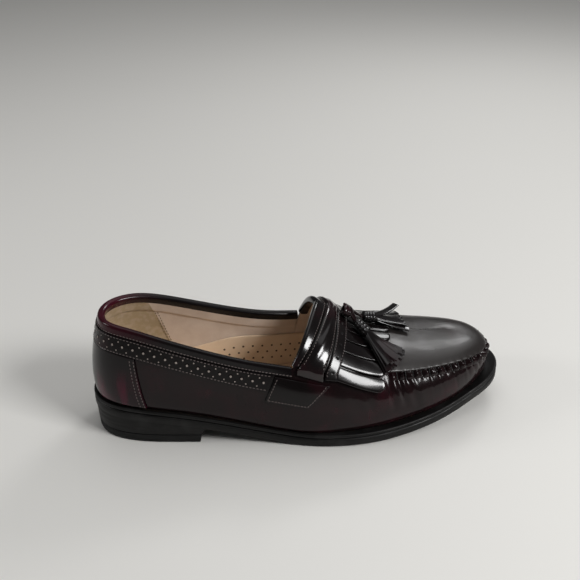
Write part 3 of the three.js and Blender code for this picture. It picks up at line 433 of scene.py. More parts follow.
@dataclass
class Body:
    """Points and faces of a mesh that grows piece by piece."""

    points: list[Array] = field(default_factory=list)
    faces: list[tuple[int, ...]] = field(default_factory=list)
    count: int = 0

    def add(self, points: Array, faces: Iterable[Sequence[int]]) -> "Body":
        """Adds points and the faces between them."""
        start = self.count
        self.points.append(np.asarray(points, float).reshape(-1, 3))
        self.count += len(self.points[-1])
        self.faces.extend(tuple(int(k) + start for k in face) for face in faces)
        return self

    def sheet(self, net: Array) -> "Body":
        """Adds an open net of rows and columns of points."""
        rows, columns = net.shape[:2]
        return self.add(net, net_faces(rows, columns))

    def shell(self, outer: Array, inner: Array) -> "Body":
        """Adds a closed body between an outer and an inner net of the same size."""
        rows, columns = outer.shape[:2]
        size = rows * columns
        faces = net_faces(rows, columns)
        faces += [tuple(k + size for k in reversed(face)) for face in net_faces(rows, columns)]
        index = np.arange(size).reshape(rows, columns)
        rim = np.concatenate([index[0, :-1], index[:-1, -1], index[-1, :0:-1], index[:0:-1, 0]])
        for a, b in zip(rim, np.roll(rim, -1)):
            faces.append((b, a, a + size, b + size))
        return self.add(np.concatenate([outer.reshape(-1, 3), inner.reshape(-1, 3)]), faces)

    def tube(self, rings: Array, closed: bool = False) -> "Body":
        """Adds a solid through rings of points: closed on itself, or with a flat cap at each end."""
        count, size = rings.shape[:2]
        faces: list[tuple[int, ...]] = []
        for k in range(count if closed else count - 1):
            here, there = k * size, ((k + 1) % count) * size
            faces += [
                (here + i, there + i, there + (i + 1) % size, here + (i + 1) % size) for i in range(size)
            ]
        if not closed:
            faces.append(tuple(range(size)))
            faces.append(tuple((count - 1) * size + i for i in reversed(range(size))))
        return self.add(rings, faces)

    def stack(self, rings: Sequence[Array], open_front: bool = False) -> "Body":
        """Adds a solid of stacked loops, closed below and above by ribs across the shoe."""
        size = len(rings[0])
        faces: list[tuple[int, ...]] = []
        for k in range(len(rings) - 1):
            faces += [
                (k * size + i, k * size + (i + 1) % size, (k + 1) * size + (i + 1) % size, (k + 1) * size + i)
                for i in range(size)
            ]
        top = (len(rings) - 1) * size
        for i in range(size // 2):
            partner = [(size - 1 - j if open_front else (size - j) % size) for j in (i, i + 1)]
            quad = [i, partner[0], partner[1], i + 1]
            corners = [p for n, p in enumerate(quad) if p != quad[(n + 1) % 4]]
            if len(corners) > 2:
                faces += [tuple(corners), tuple(p + top for p in reversed(corners))]
        return self.add(np.concatenate(rings), faces)

    def piece(self, name: str, finish: "Finish", nodes: Sequence[str] = (), weld: float = 0.0,
              sharp: float = 50.0, outwards: bool = False) -> bpy.types.Object:
        """Makes the mesh object and gives it to the frame.

        Args:
            name: the piece's name.
            finish: the finish that covers it.
            nodes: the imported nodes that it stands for.
            weld: distance in millimetres under which points are merged.
            sharp: angle in degrees over which an edge stays sharp.
            outwards: recalculates the faces' directions.

        Returns:
            The piece.
        """
        points = (np.concatenate(self.points) + SHIFT) / 1000
        mesh = bpy.data.meshes.new(name)
        mesh.from_pydata(points.tolist(), [], self.faces)
        if weld or outwards:
            work = bmesh.new()
            work.from_mesh(mesh)
            if weld:
                bmesh.ops.remove_doubles(work, verts=work.verts, dist=weld / 1000)
            if outwards:
                bmesh.ops.recalc_face_normals(work, faces=work.faces)
            work.to_mesh(mesh)
            work.free()
        return finish_piece(mesh, name, finish, nodes, sharp)


def put(name: str, data: bpy.types.ID) -> bpy.types.Object:
    """An object with its data, linked to the scene."""
    item = bpy.data.objects.new(name, data)
    bpy.context.scene.collection.objects.link(item)
    return item


def finish_piece(mesh: bpy.types.Mesh, name: str, finish: "Finish", nodes: Sequence[str], sharp: float
                 ) -> bpy.types.Object:
    """Args:
        mesh: the finished mesh, in metres.
        name: the piece's name.
        finish: the finish that covers it.
        nodes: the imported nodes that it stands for.
        sharp: angle in degrees over which an edge stays sharp.

    Returns:
        The piece.
    """
    mesh.validate()
    mesh.shade_smooth()
    mesh.set_sharp_from_angle(angle=math.radians(sharp))
    mesh.materials.clear()
    mesh.materials.append(finish.material())
    piece = put(name, mesh)
    if nodes:
        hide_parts(*nodes)
    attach(piece, "root")
    log.info("%s: %d faces", name, len(mesh.polygons))
    return piece


def net_faces(rows: int, columns: int) -> list[tuple[int, ...]]:
    """Faces of a net whose rows run with growing u, from low v to high v."""
    index = np.arange(rows * columns).reshape(rows, columns)
    quads = np.stack([index[:-1, :-1], index[:-1, 1:], index[1:, 1:], index[1:, :-1]], axis=-1)
    return [tuple(quad) for quad in quads.reshape(-1, 4).tolist()]


def eased(length: float, pitch: float, roll: float = 0.6) -> tuple[Array, Array]:
    """Places across a piece of leather, close together at its rounded edges.

    Args:
        length: its size that way in millimetres.
        pitch: spacing away from the edges.
        roll: radius of the edges.

    Returns:
        Places from 0 to 1, and there the share of the wall that is left by the rounding.
    """
    ease = roll * np.array([0, 0.08, 0.25, 0.55, 1.0])
    inside = np.linspace(roll, length - roll, max(2, int((length - 2 * roll) / pitch) + 1))[1:-1]
    at = np.concatenate([ease, inside, length - ease[::-1]])
    edge = np.clip(np.minimum(at, length - at) / roll, 0, 1)
    return at / length, np.sqrt(np.clip(1 - (1 - edge) ** 2, 0, 1))


@dataclass
class Patch:
    """A sewn-on piece of leather, given by its place on the skin.

    place maps shares s and t, each from 0 to 1, to (u, v). long and wide are its sizes along s and t.
    """

    place: Callable[[Array, Array], tuple[Array, Array]]
    long: float
    wide: float
    floor: float
    wall: float
    pitch: float = 1.2
    roll: float = 0.6
    relief: Callable[[Array, Array], Array] | None = None
    lift: Callable[[Array, Array], Array] | None = None

    def build(self, body: Body) -> Body:
        """Adds the patch to a body as a closed shell."""
        s, edge_s = eased(self.long, self.pitch, self.roll)
        t, edge_t = eased(self.wide, self.pitch, self.roll)
        ss, tt = np.meshgrid(s, t)
        u, v = self.place(ss, tt)
        full = self.wall * (0.25 + 0.75 * np.minimum(edge_s[None, :], edge_t[:, None]))
        lift = self.lift(ss, tt) if self.lift else 0.0
        relief = self.relief(ss, tt) if self.relief else 0.0
        base, normal = LAST.point(u, v), LAST.normal(u, v)
        outer = base + normal * (self.floor + full + lift + relief)[..., None]
        inner = base + normal * np.broadcast_to(self.floor + lift, u.shape)[..., None]
        return body.shell(outer, inner)


class Tree:
    """Short hand for building a node tree."""

    def __init__(self, tree: bpy.types.NodeTree) -> None:
        """Takes the tree to build in."""
        self.tree = tree

    def add(self, kind: str, inputs: dict[str | int, object] | None = None, **settings: object
            ) -> bpy.types.Node:
        """Adds a node.

        Args:
            kind: its type.
            inputs: values, or sockets to link, by input name or number.
            settings: the node's own settings.

        Returns:
            The node.
        """
        node = self.tree.nodes.new(kind)
        for key, value in settings.items():
            setattr(node, key, value)
        for key, value in (inputs or {}).items():
            socket = node.inputs[key]
            if isinstance(value, bpy.types.NodeSocket):
                self.link(value, socket)
            else:
                socket.default_value = value
        return node

    @property
    def place(self) -> bpy.types.NodeSocket:
        """The place in the object's own coordinates."""
        return self.add("ShaderNodeTexCoord").outputs["Object"]

    def link(self, source: bpy.types.NodeSocket, target: bpy.types.NodeSocket) -> None:
        """Links two sockets."""
        self.tree.links.new(source, target)

    def math(self, operation: str, *values: object) -> bpy.types.NodeSocket:
        """The result of a Math node."""
        return self.add("ShaderNodeMath", dict(enumerate(values)), operation=operation).outputs[0]

    def noise(self, place: object, scale: object, detail: float, rough: float = 0.5) -> bpy.types.NodeSocket:
        """The value of a Noise texture at a place."""
        values = {"Vector": place, "Scale": scale, "Detail": detail, "Roughness": rough}
        return self.add("ShaderNodeTexNoise", values).outputs[0]

    def mix(self, factor: object, a: object, b: object) -> bpy.types.NodeSocket:
        """Two colours mixed by a factor."""
        node = self.add("ShaderNodeMix", {"Factor": factor, "A": a, "B": b}, data_type="RGBA")
        return node.outputs["Result"]

    def ramp(self, value: object, low: float, high: float, to_low: float, to_high: float
             ) -> bpy.types.NodeSocket:
        """A value mapped from one range to another, smoothly."""
        names = ("Value", "From Min", "From Max", "To Min", "To Max")
        node = self.add("ShaderNodeMapRange", dict(zip(names, (value, low, high, to_low, to_high))),
                        interpolation_type="SMOOTHSTEP")
        return node.outputs["Result"]


def shader_group(name: str, inputs: dict[str, float], outputs: Sequence[str],
                 build: Callable[[Tree, dict, dict], None]) -> bpy.types.NodeTree:
    """A shader node group that puts out values, built once.

    Args:
        name: its name.
        inputs: its inputs with their defaults.
        outputs: its outputs.
        build: fills the tree, given the tree, the input sockets and a dict for the output sockets.

    Returns:
        The group's tree.
    """
    if name in bpy.data.node_groups:
        return bpy.data.node_groups[name]
    group = bpy.data.node_groups.new(name, "ShaderNodeTree")
    for key, value in inputs.items():
        group.interface.new_socket(key, in_out="INPUT", socket_type="NodeSocketFloat").default_value = value
    for key in outputs:
        group.interface.new_socket(key, in_out="OUTPUT", socket_type="NodeSocketFloat")
    tree = Tree(group)
    source, sink = tree.add("NodeGroupInput"), tree.add("NodeGroupOutput")
    made: dict[str, bpy.types.NodeSocket] = {}
    build(tree, {key: source.outputs[key] for key in inputs}, made)
    for key in outputs:
        group.links.new(made[key], sink.inputs[key])
    return group


def hide_grain() -> bpy.types.NodeTree:
    """Fine grain, soft waves and pores of polished leather, as heights from 0 to 1."""

    def build(tree: Tree, source: dict, made: dict) -> None:
        """Fills the group."""
        place = tree.place
        pores = tree.add("ShaderNodeTexVoronoi", {"Vector": place, "Scale": source["Pore scale"]},
                         feature="F1")
        seat = tree.ramp(pores.outputs["Distance"], 0.08, 0.2, 1.0, 0.0)
        made["Grain"] = tree.noise(place, source["Grain scale"], 3.0)
        made["Waves"] = tree.noise(place, source["Wave scale"], 2.0)
        chance = tree.ramp(tree.noise(place, 90.0, 1.0), 0.5, 0.62, 0.0, 1.0)
        made["Pores"] = tree.math("MULTIPLY", seat, chance)

    return shader_group("hide grain", {"Grain scale": 1400.0, "Wave scale": 45.0, "Pore scale": 380.0},
                        ("Grain", "Waves", "Pores"), build)


def scuffs() -> bpy.types.NodeTree:
    """Rubbed patches and upright smears, as masks from 0 to 1."""

    def build(tree: Tree, source: dict, made: dict) -> None:
        """Fills the group."""
        place = tree.place
        tall = tree.add("ShaderNodeMapping", {"Vector": place, "Scale": (95.0, 95.0, 22.0)}).outputs[0]
        made["Rubbed"] = tree.ramp(tree.noise(place, source["Patch scale"], 4.0), 0.5, 0.68, 0.0, 1.0)
        made["Smears"] = tree.ramp(tree.noise(tall, 1.0, 3.0), 0.36, 0.68, 0.0, 1.0)

    return shader_group("scuffs", {"Patch scale": 30.0}, ("Rubbed", "Smears"), build)


@dataclass(frozen=True)
class Finish:
    """A finish of one kind of surface."""

    name: str
    slot: str
    color: tuple[float, float, float]
    roughness: float = 0.5

    def material(self) -> bpy.types.Material:
        """The finish's material, built once."""
        if self.name in bpy.data.materials:
            return bpy.data.materials[self.name]
        material = bpy.data.materials.new(self.name)
        material.use_nodes = True
        tree = Tree(material.node_tree)
        shader = material.node_tree.nodes["Principled BSDF"]
        shader.inputs["Roughness"].default_value = self.roughness
        shader.inputs["Base Color"].default_value = (*self.color, 1)
        material.diffuse_color = (*self.color, 1)
        self.dress(tree, shader)
        return material

    def dress(self, tree: Tree, shader: bpy.types.Node) -> None:
        """Links what varies over the surface."""
        raise NotImplementedError


def bump_chain(tree: Tree, shader: bpy.types.Node, layers: Sequence[tuple[object, float, float]]) -> None:
    """Feeds the shader's normal from layers of bump.

    Args:
        tree: the material's tree.
        shader: its shader.
        layers: height, strength and distance in metres of each layer.
    """
    normal = None
    for height, strength, distance in layers:
        node = tree.add("ShaderNodeBump", {"Height": height, "Strength": strength, "Distance": distance})
        if normal is not None:
            tree.link(normal, node.inputs["Normal"])
        normal = node.outputs["Normal"]
    tree.link(normal, shader.inputs["Normal"])


@dataclass(frozen=True)
class Calf(Finish):
    """Brush-off calf, dark over a red ground, waxed to a high gloss."""

    ground: tuple[float, float, float] = (0.07, 0.006, 0.016)
    red: float = 0.3
    grain: float = 0.06
    waves: float = 0.25
    coat: float = 0.3
    shine: float = 0.2
    smears: float = 0.0
    fade_x: tuple[float, float] | None = None
    fade_z: tuple[float, float] | None = None

    def dress(self, tree: Tree, shader: bpy.types.Node) -> None:
        """Links the red ground that shows through, the gloss and the grain."""
        hide = tree.add("ShaderNodeGroup", {}, node_tree=hide_grain())
        worn = tree.add("ShaderNodeGroup", {}, node_tree=scuffs())
        shows = tree.ramp(worn.outputs["Rubbed"], 0.0, 1.0, max(0.0, self.red - 0.25), self.red)
        if self.smears:
            smeared = tree.ramp(worn.outputs["Smears"], 0.0, 1.0, 1 - self.smears, 1.0)
            shows = tree.math("MULTIPLY", shows, smeared)
        if self.fade_x or self.fade_z:
            axes = tree.add("ShaderNodeSeparateXYZ", {"Vector": tree.place})
            for axis, fade in (("X", self.fade_x), ("Z", self.fade_z)):
                if fade:
                    shows = tree.math("MULTIPLY", shows, tree.ramp(axes.outputs[axis], *fade, 1.0, 0.0))
        tree.link(tree.mix(shows, (*self.color, 1), (*self.ground, 1)), shader.inputs["Base Color"])
        tree.link(tree.ramp(hide.outputs["Waves"], 0.3, 0.7, self.roughness * 0.8, self.roughness * 1.25),
                  shader.inputs["Roughness"])
        shader.inputs["Coat Weight"].default_value = self.coat
        shader.inputs["Coat Roughness"].default_value = 0.1
        shader.inputs["Specular IOR Level"].default_value = self.shine
        bump_chain(tree, shader, (
            (hide.outputs["Waves"], self.waves, 0.0006),
            (hide.outputs["Grain"], self.grain, 0.0002),
            (tree.math("SUBTRACT", 1.0, hide.outputs["Pores"]), 0.12, 0.0002),
        ))


@dataclass(frozen=True)
class SoleEdge(Finish):
    """Inked and burnished sole edges."""

    def dress(self, tree: Tree, shader: bpy.types.Node) -> None:
        """Links a grey rub along the edges and fine fibre."""
        stretched = tree.add("ShaderNodeMapping", {"Vector": tree.place, "Scale": (60.0, 60.0, 900.0)})
        fibre = tree.noise(stretched.outputs[0], 1.0, 4.0)
        worn = tree.add("ShaderNodeGroup", {"Patch scale": 55.0}, node_tree=scuffs())
        pale = tuple(min(1.0, 1.9 * c + 0.012) for c in self.color)
        rub = tree.math("MULTIPLY", worn.outputs["Rubbed"], 0.6)
        tree.link(tree.mix(rub, (*self.color, 1), (*pale, 1)), shader.inputs["Base Color"])
        tree.link(tree.ramp(fibre, 0.3, 0.7, self.roughness - 0.08, self.roughness + 0.12),
                  shader.inputs["Roughness"])
        shader.inputs["Specular IOR Level"].default_value = 0.35
        bump_chain(tree, shader, ((fibre, 0.25, 0.0003),))


@dataclass(frozen=True)
class Suede(Finish):
    """Lining leather with a soft nap."""

    shade: tuple[float, float, float] = (0.3, 0.2, 0.13)
    heel: tuple[float, float, float] | None = None
    heel_at: float = 0.0
    heel_slant: float = 0.333

    def dress(self, tree: Tree, shader: bpy.types.Node) -> None:
        """Links the mottled colour and the nap."""
        place = tree.place
        mottle = tree.noise(place, 60.0, 5.0, 0.6)
        color = tree.mix(tree.ramp(mottle, 0.32, 0.7, 0.0, 0.55), (*self.color, 1), (*self.shade, 1))
        if self.heel:
            axes = tree.add("ShaderNodeSeparateXYZ", {"Vector": place})
            lean = tree.math("MULTIPLY_ADD", axes.outputs["Z"], self.heel_slant, axes.outputs["X"])
            behind = tree.ramp(lean, self.heel_at - 0.0003, self.heel_at + 0.0003, 1.0, 0.0)
            rough = tree.ramp(tree.noise(place, 260.0, 4.0), 0.3, 0.62, 0.72, 1.0)
            spots = tree.math("MULTIPLY", behind, rough)
            color = tree.mix(spots, color, (*self.heel, 1))
        tree.link(color, shader.inputs["Base Color"])
        shader.inputs["Sheen Weight"].default_value = 0.2
        shader.inputs["Specular IOR Level"].default_value = 0.25
        bump_chain(tree, shader, ((mottle, 0.3, 0.0008), (tree.noise(place, 1500.0, 3.0), 0.35, 0.0002)))


@dataclass(frozen=True)
class Plain(Finish):
    """Thread, dark and pale discs in punched holes (painted shade and painted highlight) and other small things,
    with a fine tooth.
    """

    tooth: float = 900.0

    def dress(self, tree: Tree, shader: bpy.types.Node) -> None:
        """Links a fine variation of the gloss and height."""
        fine = tree.noise(tree.place, self.tooth, 2.0)
        tree.link(tree.ramp(fine, 0.3, 0.7, self.roughness * 0.85, self.roughness * 1.1),
                  shader.inputs["Roughness"])
        bump_chain(tree, shader, ((fine, 0.2, 0.0002),))


class Finishes:
    """The finishes of this shoe."""

    upper = Calf("polished calf", "upper", (0.006, 0.004, 0.0042), 0.2, red=0.2)
    vamp = Calf("polished vamp calf", "upper", (0.0085, 0.0048, 0.005), 0.22, red=0.34, grain=0.12,
                smears=0.6)
    # The apron's base colour is paler and greyer than the rest of the upper: a painted sheen, the grey room
    # reflected in it, painted into its colour.
    apron = Calf("apron calf with painted sheen", "upper", (0.026, 0.022, 0.0205), 0.36, red=0.05, grain=0.12,
                 coat=0.12, shine=0.6)
    strap = Calf("polished strap calf", "upper", (0.006, 0.004, 0.0042), 0.17, red=0.15, waves=0.5, coat=0.6,
                 shine=0.35)
    fringe = Calf("polished fringe calf", "upper", (0.006, 0.004, 0.0042), 0.24, red=0.15, waves=0.35,
                  coat=0.5, shine=0.4)
    oxblood = Calf("oxblood calf", "oxblood", (0.007, 0.004, 0.0048), 0.2, (0.1, 0.006, 0.027), red=1.0,
                   smears=0.9, fade_z=(0.04, 0.062))
    collar = Calf("oxblood collar calf", "oxblood", (0.006, 0.004, 0.0045), 0.2, (0.075, 0.005, 0.017),
                  red=0.9, fade_x=((8 + SHIFT[0]) / 1000, (60 + SHIFT[0]) / 1000))
    trim = Calf("trim calf", "trim", (0.006, 0.0042, 0.0044), 0.3, red=0.2, grain=0.15, coat=0.15)
    tassel = Calf("tassel calf", "trim", (0.006, 0.0042, 0.0044), 0.17, red=0.12, grain=0.12, coat=0.6,
                  shine=0.4)
    thong = Calf("waxed thong", "trim", (0.009, 0.005, 0.0055), 0.25, red=0.3, grain=0.2, coat=0.4)
    sole = SoleEdge("inked sole edge", "sole_edge", (0.0075, 0.007, 0.0068), 0.46)
    top_piece = SoleEdge("rubber top piece", "top_piece", (0.0075, 0.0075, 0.0075), 0.62)
    lining = Suede("lining suede", "insole", (0.78, 0.66, 0.56), 0.9, shade=(0.64, 0.51, 0.42),
                   heel=(0.46, 0.36, 0.23), heel_at=(68.1 + SHIFT[0]) / 1000)
    sock = Suede("insole leather", "insole", (0.9, 0.73, 0.55), 0.75, shade=(0.78, 0.6, 0.44))
    thread = Plain("waxed thread", "trim", (0.13, 0.105, 0.1), 0.4)
    seam_thread = Plain("blackened thread", "trim", (0.005, 0.004, 0.004), 0.6)
    beige_thread = Plain("beige thread", "insole", (0.24, 0.18, 0.11), 0.8)
    # Dark discs in the kiltie's holes: the dark calf beneath, with painted shade for the recess of each hole.
    hole = Plain("punched hole", "trim", (0.004, 0.003, 0.003), 0.9)
    # Dark discs in the sock's perforations: partly the layer beneath, partly painted shade in the holes.
    sock_hole = Plain("sock hole with painted shade", "insole", (0.1, 0.06, 0.035), 0.9)
    # Pale discs in the brogue holes: a painted highlight, the glint of light in the punched holes.
    light = Plain("painted hole glint", "insole", (0.38, 0.33, 0.3), 0.6)


class Shape(Enum):
    """Shapes that are repeated along seams."""

    STITCH = "stitch"
    DISC = "disc"
    RING = "ring"


@dataclass
class Repeat:
    """Small shapes set along seams by Geometry Nodes: one at each point, turned to lie along the seam."""

    name: str
    shape: Shape
    finish: Finish
    length: float
    width: float
    height: float
    points: list[Array] = field(default_factory=list)
    alongs: list[Array] = field(default_factory=list)
    outs: list[Array] = field(default_factory=list)

    def run(self, points: Array, alongs: Array | Sequence[float], outs: Array | Sequence[float]) -> "Repeat":
        """Adds points in millimetres with their directions along the seam and out of the leather."""
        self.points.append(points)
        self.alongs.append(np.broadcast_to(alongs, points.shape))
        self.outs.append(np.broadcast_to(outs, points.shape))
        return self

    def line(self, path: Array, normals: Array, pitch: float, start: float = 0.5) -> "Repeat":
        """Adds points at a pitch along a path.

        Args:
            path: points of the path in millimetres.
            normals: directions out of the leather there.
            pitch: spacing in millimetres.
            start: where the first lies, in shares of the pitch.

        Returns:
            This repeat.
        """
        length = np.concatenate([[0], np.cumsum(np.linalg.norm(np.diff(path, axis=0), axis=1))])
        at = np.arange(start * pitch, length[-1], pitch)
        pick = lambda values, where: np.column_stack([np.interp(where, length, row) for row in values.T])
        middle = pick(path, at)
        along = pick(path, at + pitch / 4) - pick(path, at - pitch / 4)
        return self.run(middle, along, pick(normals, at))

    def _tree(self) -> bpy.types.NodeTree:
        """The node tree of the repeat's shape, with sizes as inputs."""
        name = "set " + self.shape.value
        if name in bpy.data.node_groups:
            return bpy.data.node_groups[name]
        group = bpy.data.node_groups.new(name, "GeometryNodeTree")
        sockets = (("Geometry", "NodeSocketGeometry"), ("Length", "NodeSocketFloat"),
                   ("Width", "NodeSocketFloat"), ("Height", "NodeSocketFloat"), ("Finish", "NodeSocketMaterial"))
        for key, kind in sockets:
            group.interface.new_socket(key, in_out="INPUT", socket_type=kind)
        group.interface.new_socket("Geometry", in_out="OUTPUT", socket_type="NodeSocketGeometry")
        tree = Tree(group)
        source, sink = tree.add("NodeGroupInput"), tree.add("NodeGroupOutput")
        if self.shape is Shape.STITCH:
            ball = tree.add("GeometryNodeMeshUVSphere", {"Segments": 8, "Rings": 5, "Radius": 0.5})
            form = ball.outputs["Mesh"]
        elif self.shape is Shape.DISC:
            disc = tree.add("GeometryNodeMeshCylinder", {"Vertices": 10, "Radius": 0.5, "Depth": 1.0})
            form = disc.outputs["Mesh"]
        else:
            big = tree.add("GeometryNodeCurvePrimitiveCircle", {"Resolution": 12, "Radius": 0.42})
            small = tree.add("GeometryNodeCurvePrimitiveCircle", {"Resolution": 5, "Radius": 0.16})
            form = tree.add("GeometryNodeCurveToMesh", {
                "Curve": big.outputs["Curve"], "Profile Curve": small.outputs["Curve"],
            }).outputs["Mesh"]
        size = tree.add("ShaderNodeCombineXYZ", {
            "X": source.outputs["Length"], "Y": source.outputs["Width"], "Z": source.outputs["Height"],
        })
        sized = tree.add("GeometryNodeTransform", {"Geometry": form, "Scale": size.outputs[0]})
        along = tree.add("GeometryNodeInputNamedAttribute", {"Name": "along"}, data_type="FLOAT_VECTOR")
        out = tree.add("GeometryNodeInputNamedAttribute", {"Name": "out"}, data_type="FLOAT_VECTOR")
        turn = tree.add("FunctionNodeAxesToRotation", {
            "Primary Axis": out.outputs["Attribute"], "Secondary Axis": along.outputs["Attribute"],
        }, primary_axis="Z", secondary_axis="X")
        placed = tree.add("GeometryNodeInstanceOnPoints", {
            "Points": source.outputs["Geometry"], "Instance": sized.outputs["Geometry"],
            "Rotation": turn.outputs["Rotation"],
        })
        real = tree.add("GeometryNodeRealizeInstances", {"Geometry": placed.outputs["Instances"]})
        done = tree.add("GeometryNodeSetMaterial", {
            "Geometry": real.outputs["Geometry"], "Material": source.outputs["Finish"],
        })
        group.links.new(done.outputs["Geometry"], sink.inputs["Geometry"])
        return group

    def build(self) -> bpy.types.Object:
        """Makes the repeat a plain mesh and gives it to the frame."""
        points = (np.concatenate(self.points) + SHIFT) / 1000
        seed = bpy.data.meshes.new(self.name + " points")
        seed.from_pydata(points.tolist(), [], [])
        for key, values in (("along", self.alongs), ("out", self.outs)):
            layer = seed.attributes.new(key, "FLOAT_VECTOR", "POINT")
            layer.data.foreach_set("vector", np.concatenate(values).astype(np.float32).ravel())
        carrier = put(self.name + " points", seed)
        modifier = carrier.modifiers.new("set", "NODES")
        modifier.node_group = self._tree()
        values = {"Length": self.length / 1000, "Width": self.width / 1000, "Height": self.height / 1000,
                  "Finish": self.finish.material()}
        for item in modifier.node_group.interface.items_tree:
            if item.in_out == "INPUT" and item.name in values:
                modifier[item.identifier] = values[item.name]
        graph = bpy.context.evaluated_depsgraph_get()
        mesh = bpy.data.meshes.new_from_object(carrier.evaluated_get(graph))
        mesh.name = self.name
        carrier.modifiers.clear()
        bpy.data.objects.remove(carrier)
        return finish_piece(mesh, self.name, self.finish, (), 40.0)


@dataclass
class Bottom:
    """Outsole, welt, heel and top piece."""

    ribs: int = 150
    groove: float = 0.9

    def loop(self) -> Array:
        """Places round the sole, paired across the shoe."""
        x = self._rib_x()
        return np.concatenate([LAST.u_at(x, LATERAL), LAST.u_at(x[1:-1][::-1], MEDIAL)])

    def _rib_x(self) -> Array:
        """Distances of the ribs from the heel, with the places where the underside changes."""
        bend = (1 - np.cos(np.linspace(0, math.pi, self.ribs))) / 2
        x = LAST.heel_x + (LAST.toe_x - LAST.heel_x) * bend
        for key in (S.heel_length, *S.footprint):
            x[np.argmin(np.abs(x - key))] = key
        return x

    @staticmethod
    def ring(plan: Array, height: Array | float) -> Array:
        """A loop of points at a height, one for all or one for each."""
        return np.column_stack([plan, np.broadcast_to(height, len(plan))])

    def lifted(self, plan: Array, lift: float) -> Array:
        """A loop of points at a height over the sole's underside."""
        return self.ring(plan, sole_underside(plan[:, 0]) + lift)

    def outsole(self) -> bpy.types.Object:
        """The outsole, with a rounded edge and a groove above it."""
        loop = self.loop()
        profile = ((0.9, 0.0), (0.45, 0.12), (0.12, 0.45), (0.0, 0.95), (-0.08, 2.6), (0.0, 4.4),
                   (0.15, 4.9), (0.5, 5.4), (self.groove, 5.7), (1.6, S.sole_wall))
        ahead = smoothstep(LAST.outline(loop)[:, 0], S.heel_length - 1, S.heel_length + 6)
        rings = [self.lifted(LAST.edge(loop, inset * (1 if height > 1 else ahead)), height)
                 for inset, height in profile]
        return Body().stack(rings).piece("outsole_body", Finishes.sole, ["outsole"], sharp=35)

    def welt(self) -> bpy.types.Object:
        """The welt, a ring with a rounded edge and a raised bead along its top."""
        loop = self.loop()
        base = S.sole_wall + S.gap
        full = S.sole_wall + S.welt_wall
        profile = ((1.8, base), (self.groove, base + 0.1), (0.4, base + 0.4), (0.1, base + 0.9),
                   (0.0, base + 1.3), (0.1, full - 0.75), (0.35, full - 0.35), (0.8, full - 0.08),
                   (1.3, full), (1.9, full - 0.25))
        rings = [self.lifted(LAST.edge(loop, inset), height) for inset, height in profile]
        inside = ((0.3, full - 0.3), (-S.welt_reach, full - 0.3), (-S.welt_reach, base))
        rings += [self.lifted(LAST.outset(loop, reach), height) for reach, height in inside]
        stations = np.stack(rings, axis=1)
        return Body().tube(stations, closed=True).piece("welt_ring", Finishes.sole, ["welt"], sharp=45,
                                                        outwards=True)

    def heel_plan(self, loop: Array, height: float, inset: float = 0.0) -> Array:
        """Plan of the heel at a height over the floor."""
        full = S.heel_seat - S.welt_wall - S.sole_wall
        down = 1 - min(max(height / full, 0), 1)
        lean = 0.4 + (S.heel_taper - 0.4) * down + inset
        plan = LAST.edge(loop, lean)
        back = LAST.edge(np.array([LAST.u_heel]), lean)[0, 0]
        plan[:, 0] = back + (plan[:, 0] - back) * (1 - (S.breast_slope * down + inset) / S.heel_length)
        return plan

    def heel(self) -> None:
        """The stack of lifts and the top piece under it."""
        x = self._rib_x()
        x = x[x <= S.heel_length]
        loop = np.concatenate([LAST.u_at(x[1:][::-1], MEDIAL) - 1, LAST.u_at(x, LATERAL)])
        low, full = S.top_piece + S.gap, S.heel_seat - S.welt_wall - S.sole_wall
        rings = []
        for height, inset in ((low, 0.35), (low + 0.35, 0.0)):
            plan = self.heel_plan(loop, height, inset)
            rings.append(self.ring(plan, np.minimum(height, sole_underside(plan[:, 0]) - S.gap)))
        rings.append(self.lifted(self.heel_plan(loop, full), -S.gap - 0.3))
        rings.append(self.lifted(self.heel_plan(loop, full, 0.1), -S.gap))
        Body().stack(rings, True).piece("heel_lifts", Finishes.sole, ["heel_base"], sharp=35)
        levels = ((0.0, 0.5), (0.15, 0.15), (0.5, 0.0), (S.top_piece - 0.4, 0.0), (S.top_piece, 0.4))
        rings = [self.ring(self.heel_plan(loop, height, inset), height) for height, inset in levels]
        Body().stack(rings, True).piece("top_piece", Finishes.top_piece, ["heel_top_piece"], sharp=35)

    def insole(self) -> bpy.types.Object:
        """The insole with its sock, slightly dished."""
        loop = self.loop()
        inset = LAST.column["tuck"](LAST.outline(loop)[:, 0] / S.sole_length) + S.upper_wall + S.gap
        seat = S.sole_wall + S.welt_wall + S.gap
        rings = []
        for plan_inset, height in ((None, S.sole_wall + S.gap), (None, seat), (0.0, seat), (0.0, seat + 2.4),
                                   (0.35, seat + 2.85), (0.9, seat + 3.0), (5.0, seat + 2.7), (14.0, seat + 2.4)):
            plan = (LAST.outset(loop, -S.welt_reach - S.gap) if plan_inset is None
                    else LAST.outset(loop, -inset - plan_inset))
            rings.append(self.lifted(plan, height))
        return Body().stack(rings).piece("insole_sock", Finishes.sock, ["insole"], sharp=50)

    def build(self) -> None:
        """Makes every piece of the bottom."""
        self.outsole()
        self.welt()
        self.heel()
        self.insole()


@dataclass(frozen=True)
class Crease:
    """A soft fold in the leather, as seen from the side.

    start and end are (distance from the heel, height), and depth is negative for a ridge.
    """

    side: int
    start: tuple[float, float]
    end: tuple[float, float]
    depth: float
    width: float

    def relief(self, points: Array) -> Array:
        """How far the leather moves at each point."""
        a, b = np.array(self.start), np.array(self.end)
        flat = points[..., [0, 2]] - a
        run = b - a
        t = np.clip((flat @ run) / (run @ run), 0, 1)
        away = np.linalg.norm(flat - t[..., None] * run, axis=-1) / self.width
        near = np.exp(-(away**2)) * np.sin(math.pi * np.clip(0.12 + 0.76 * t, 0, 1))
        return -self.depth * near * (np.sign(points[..., 1] - 3.0) == self.side)


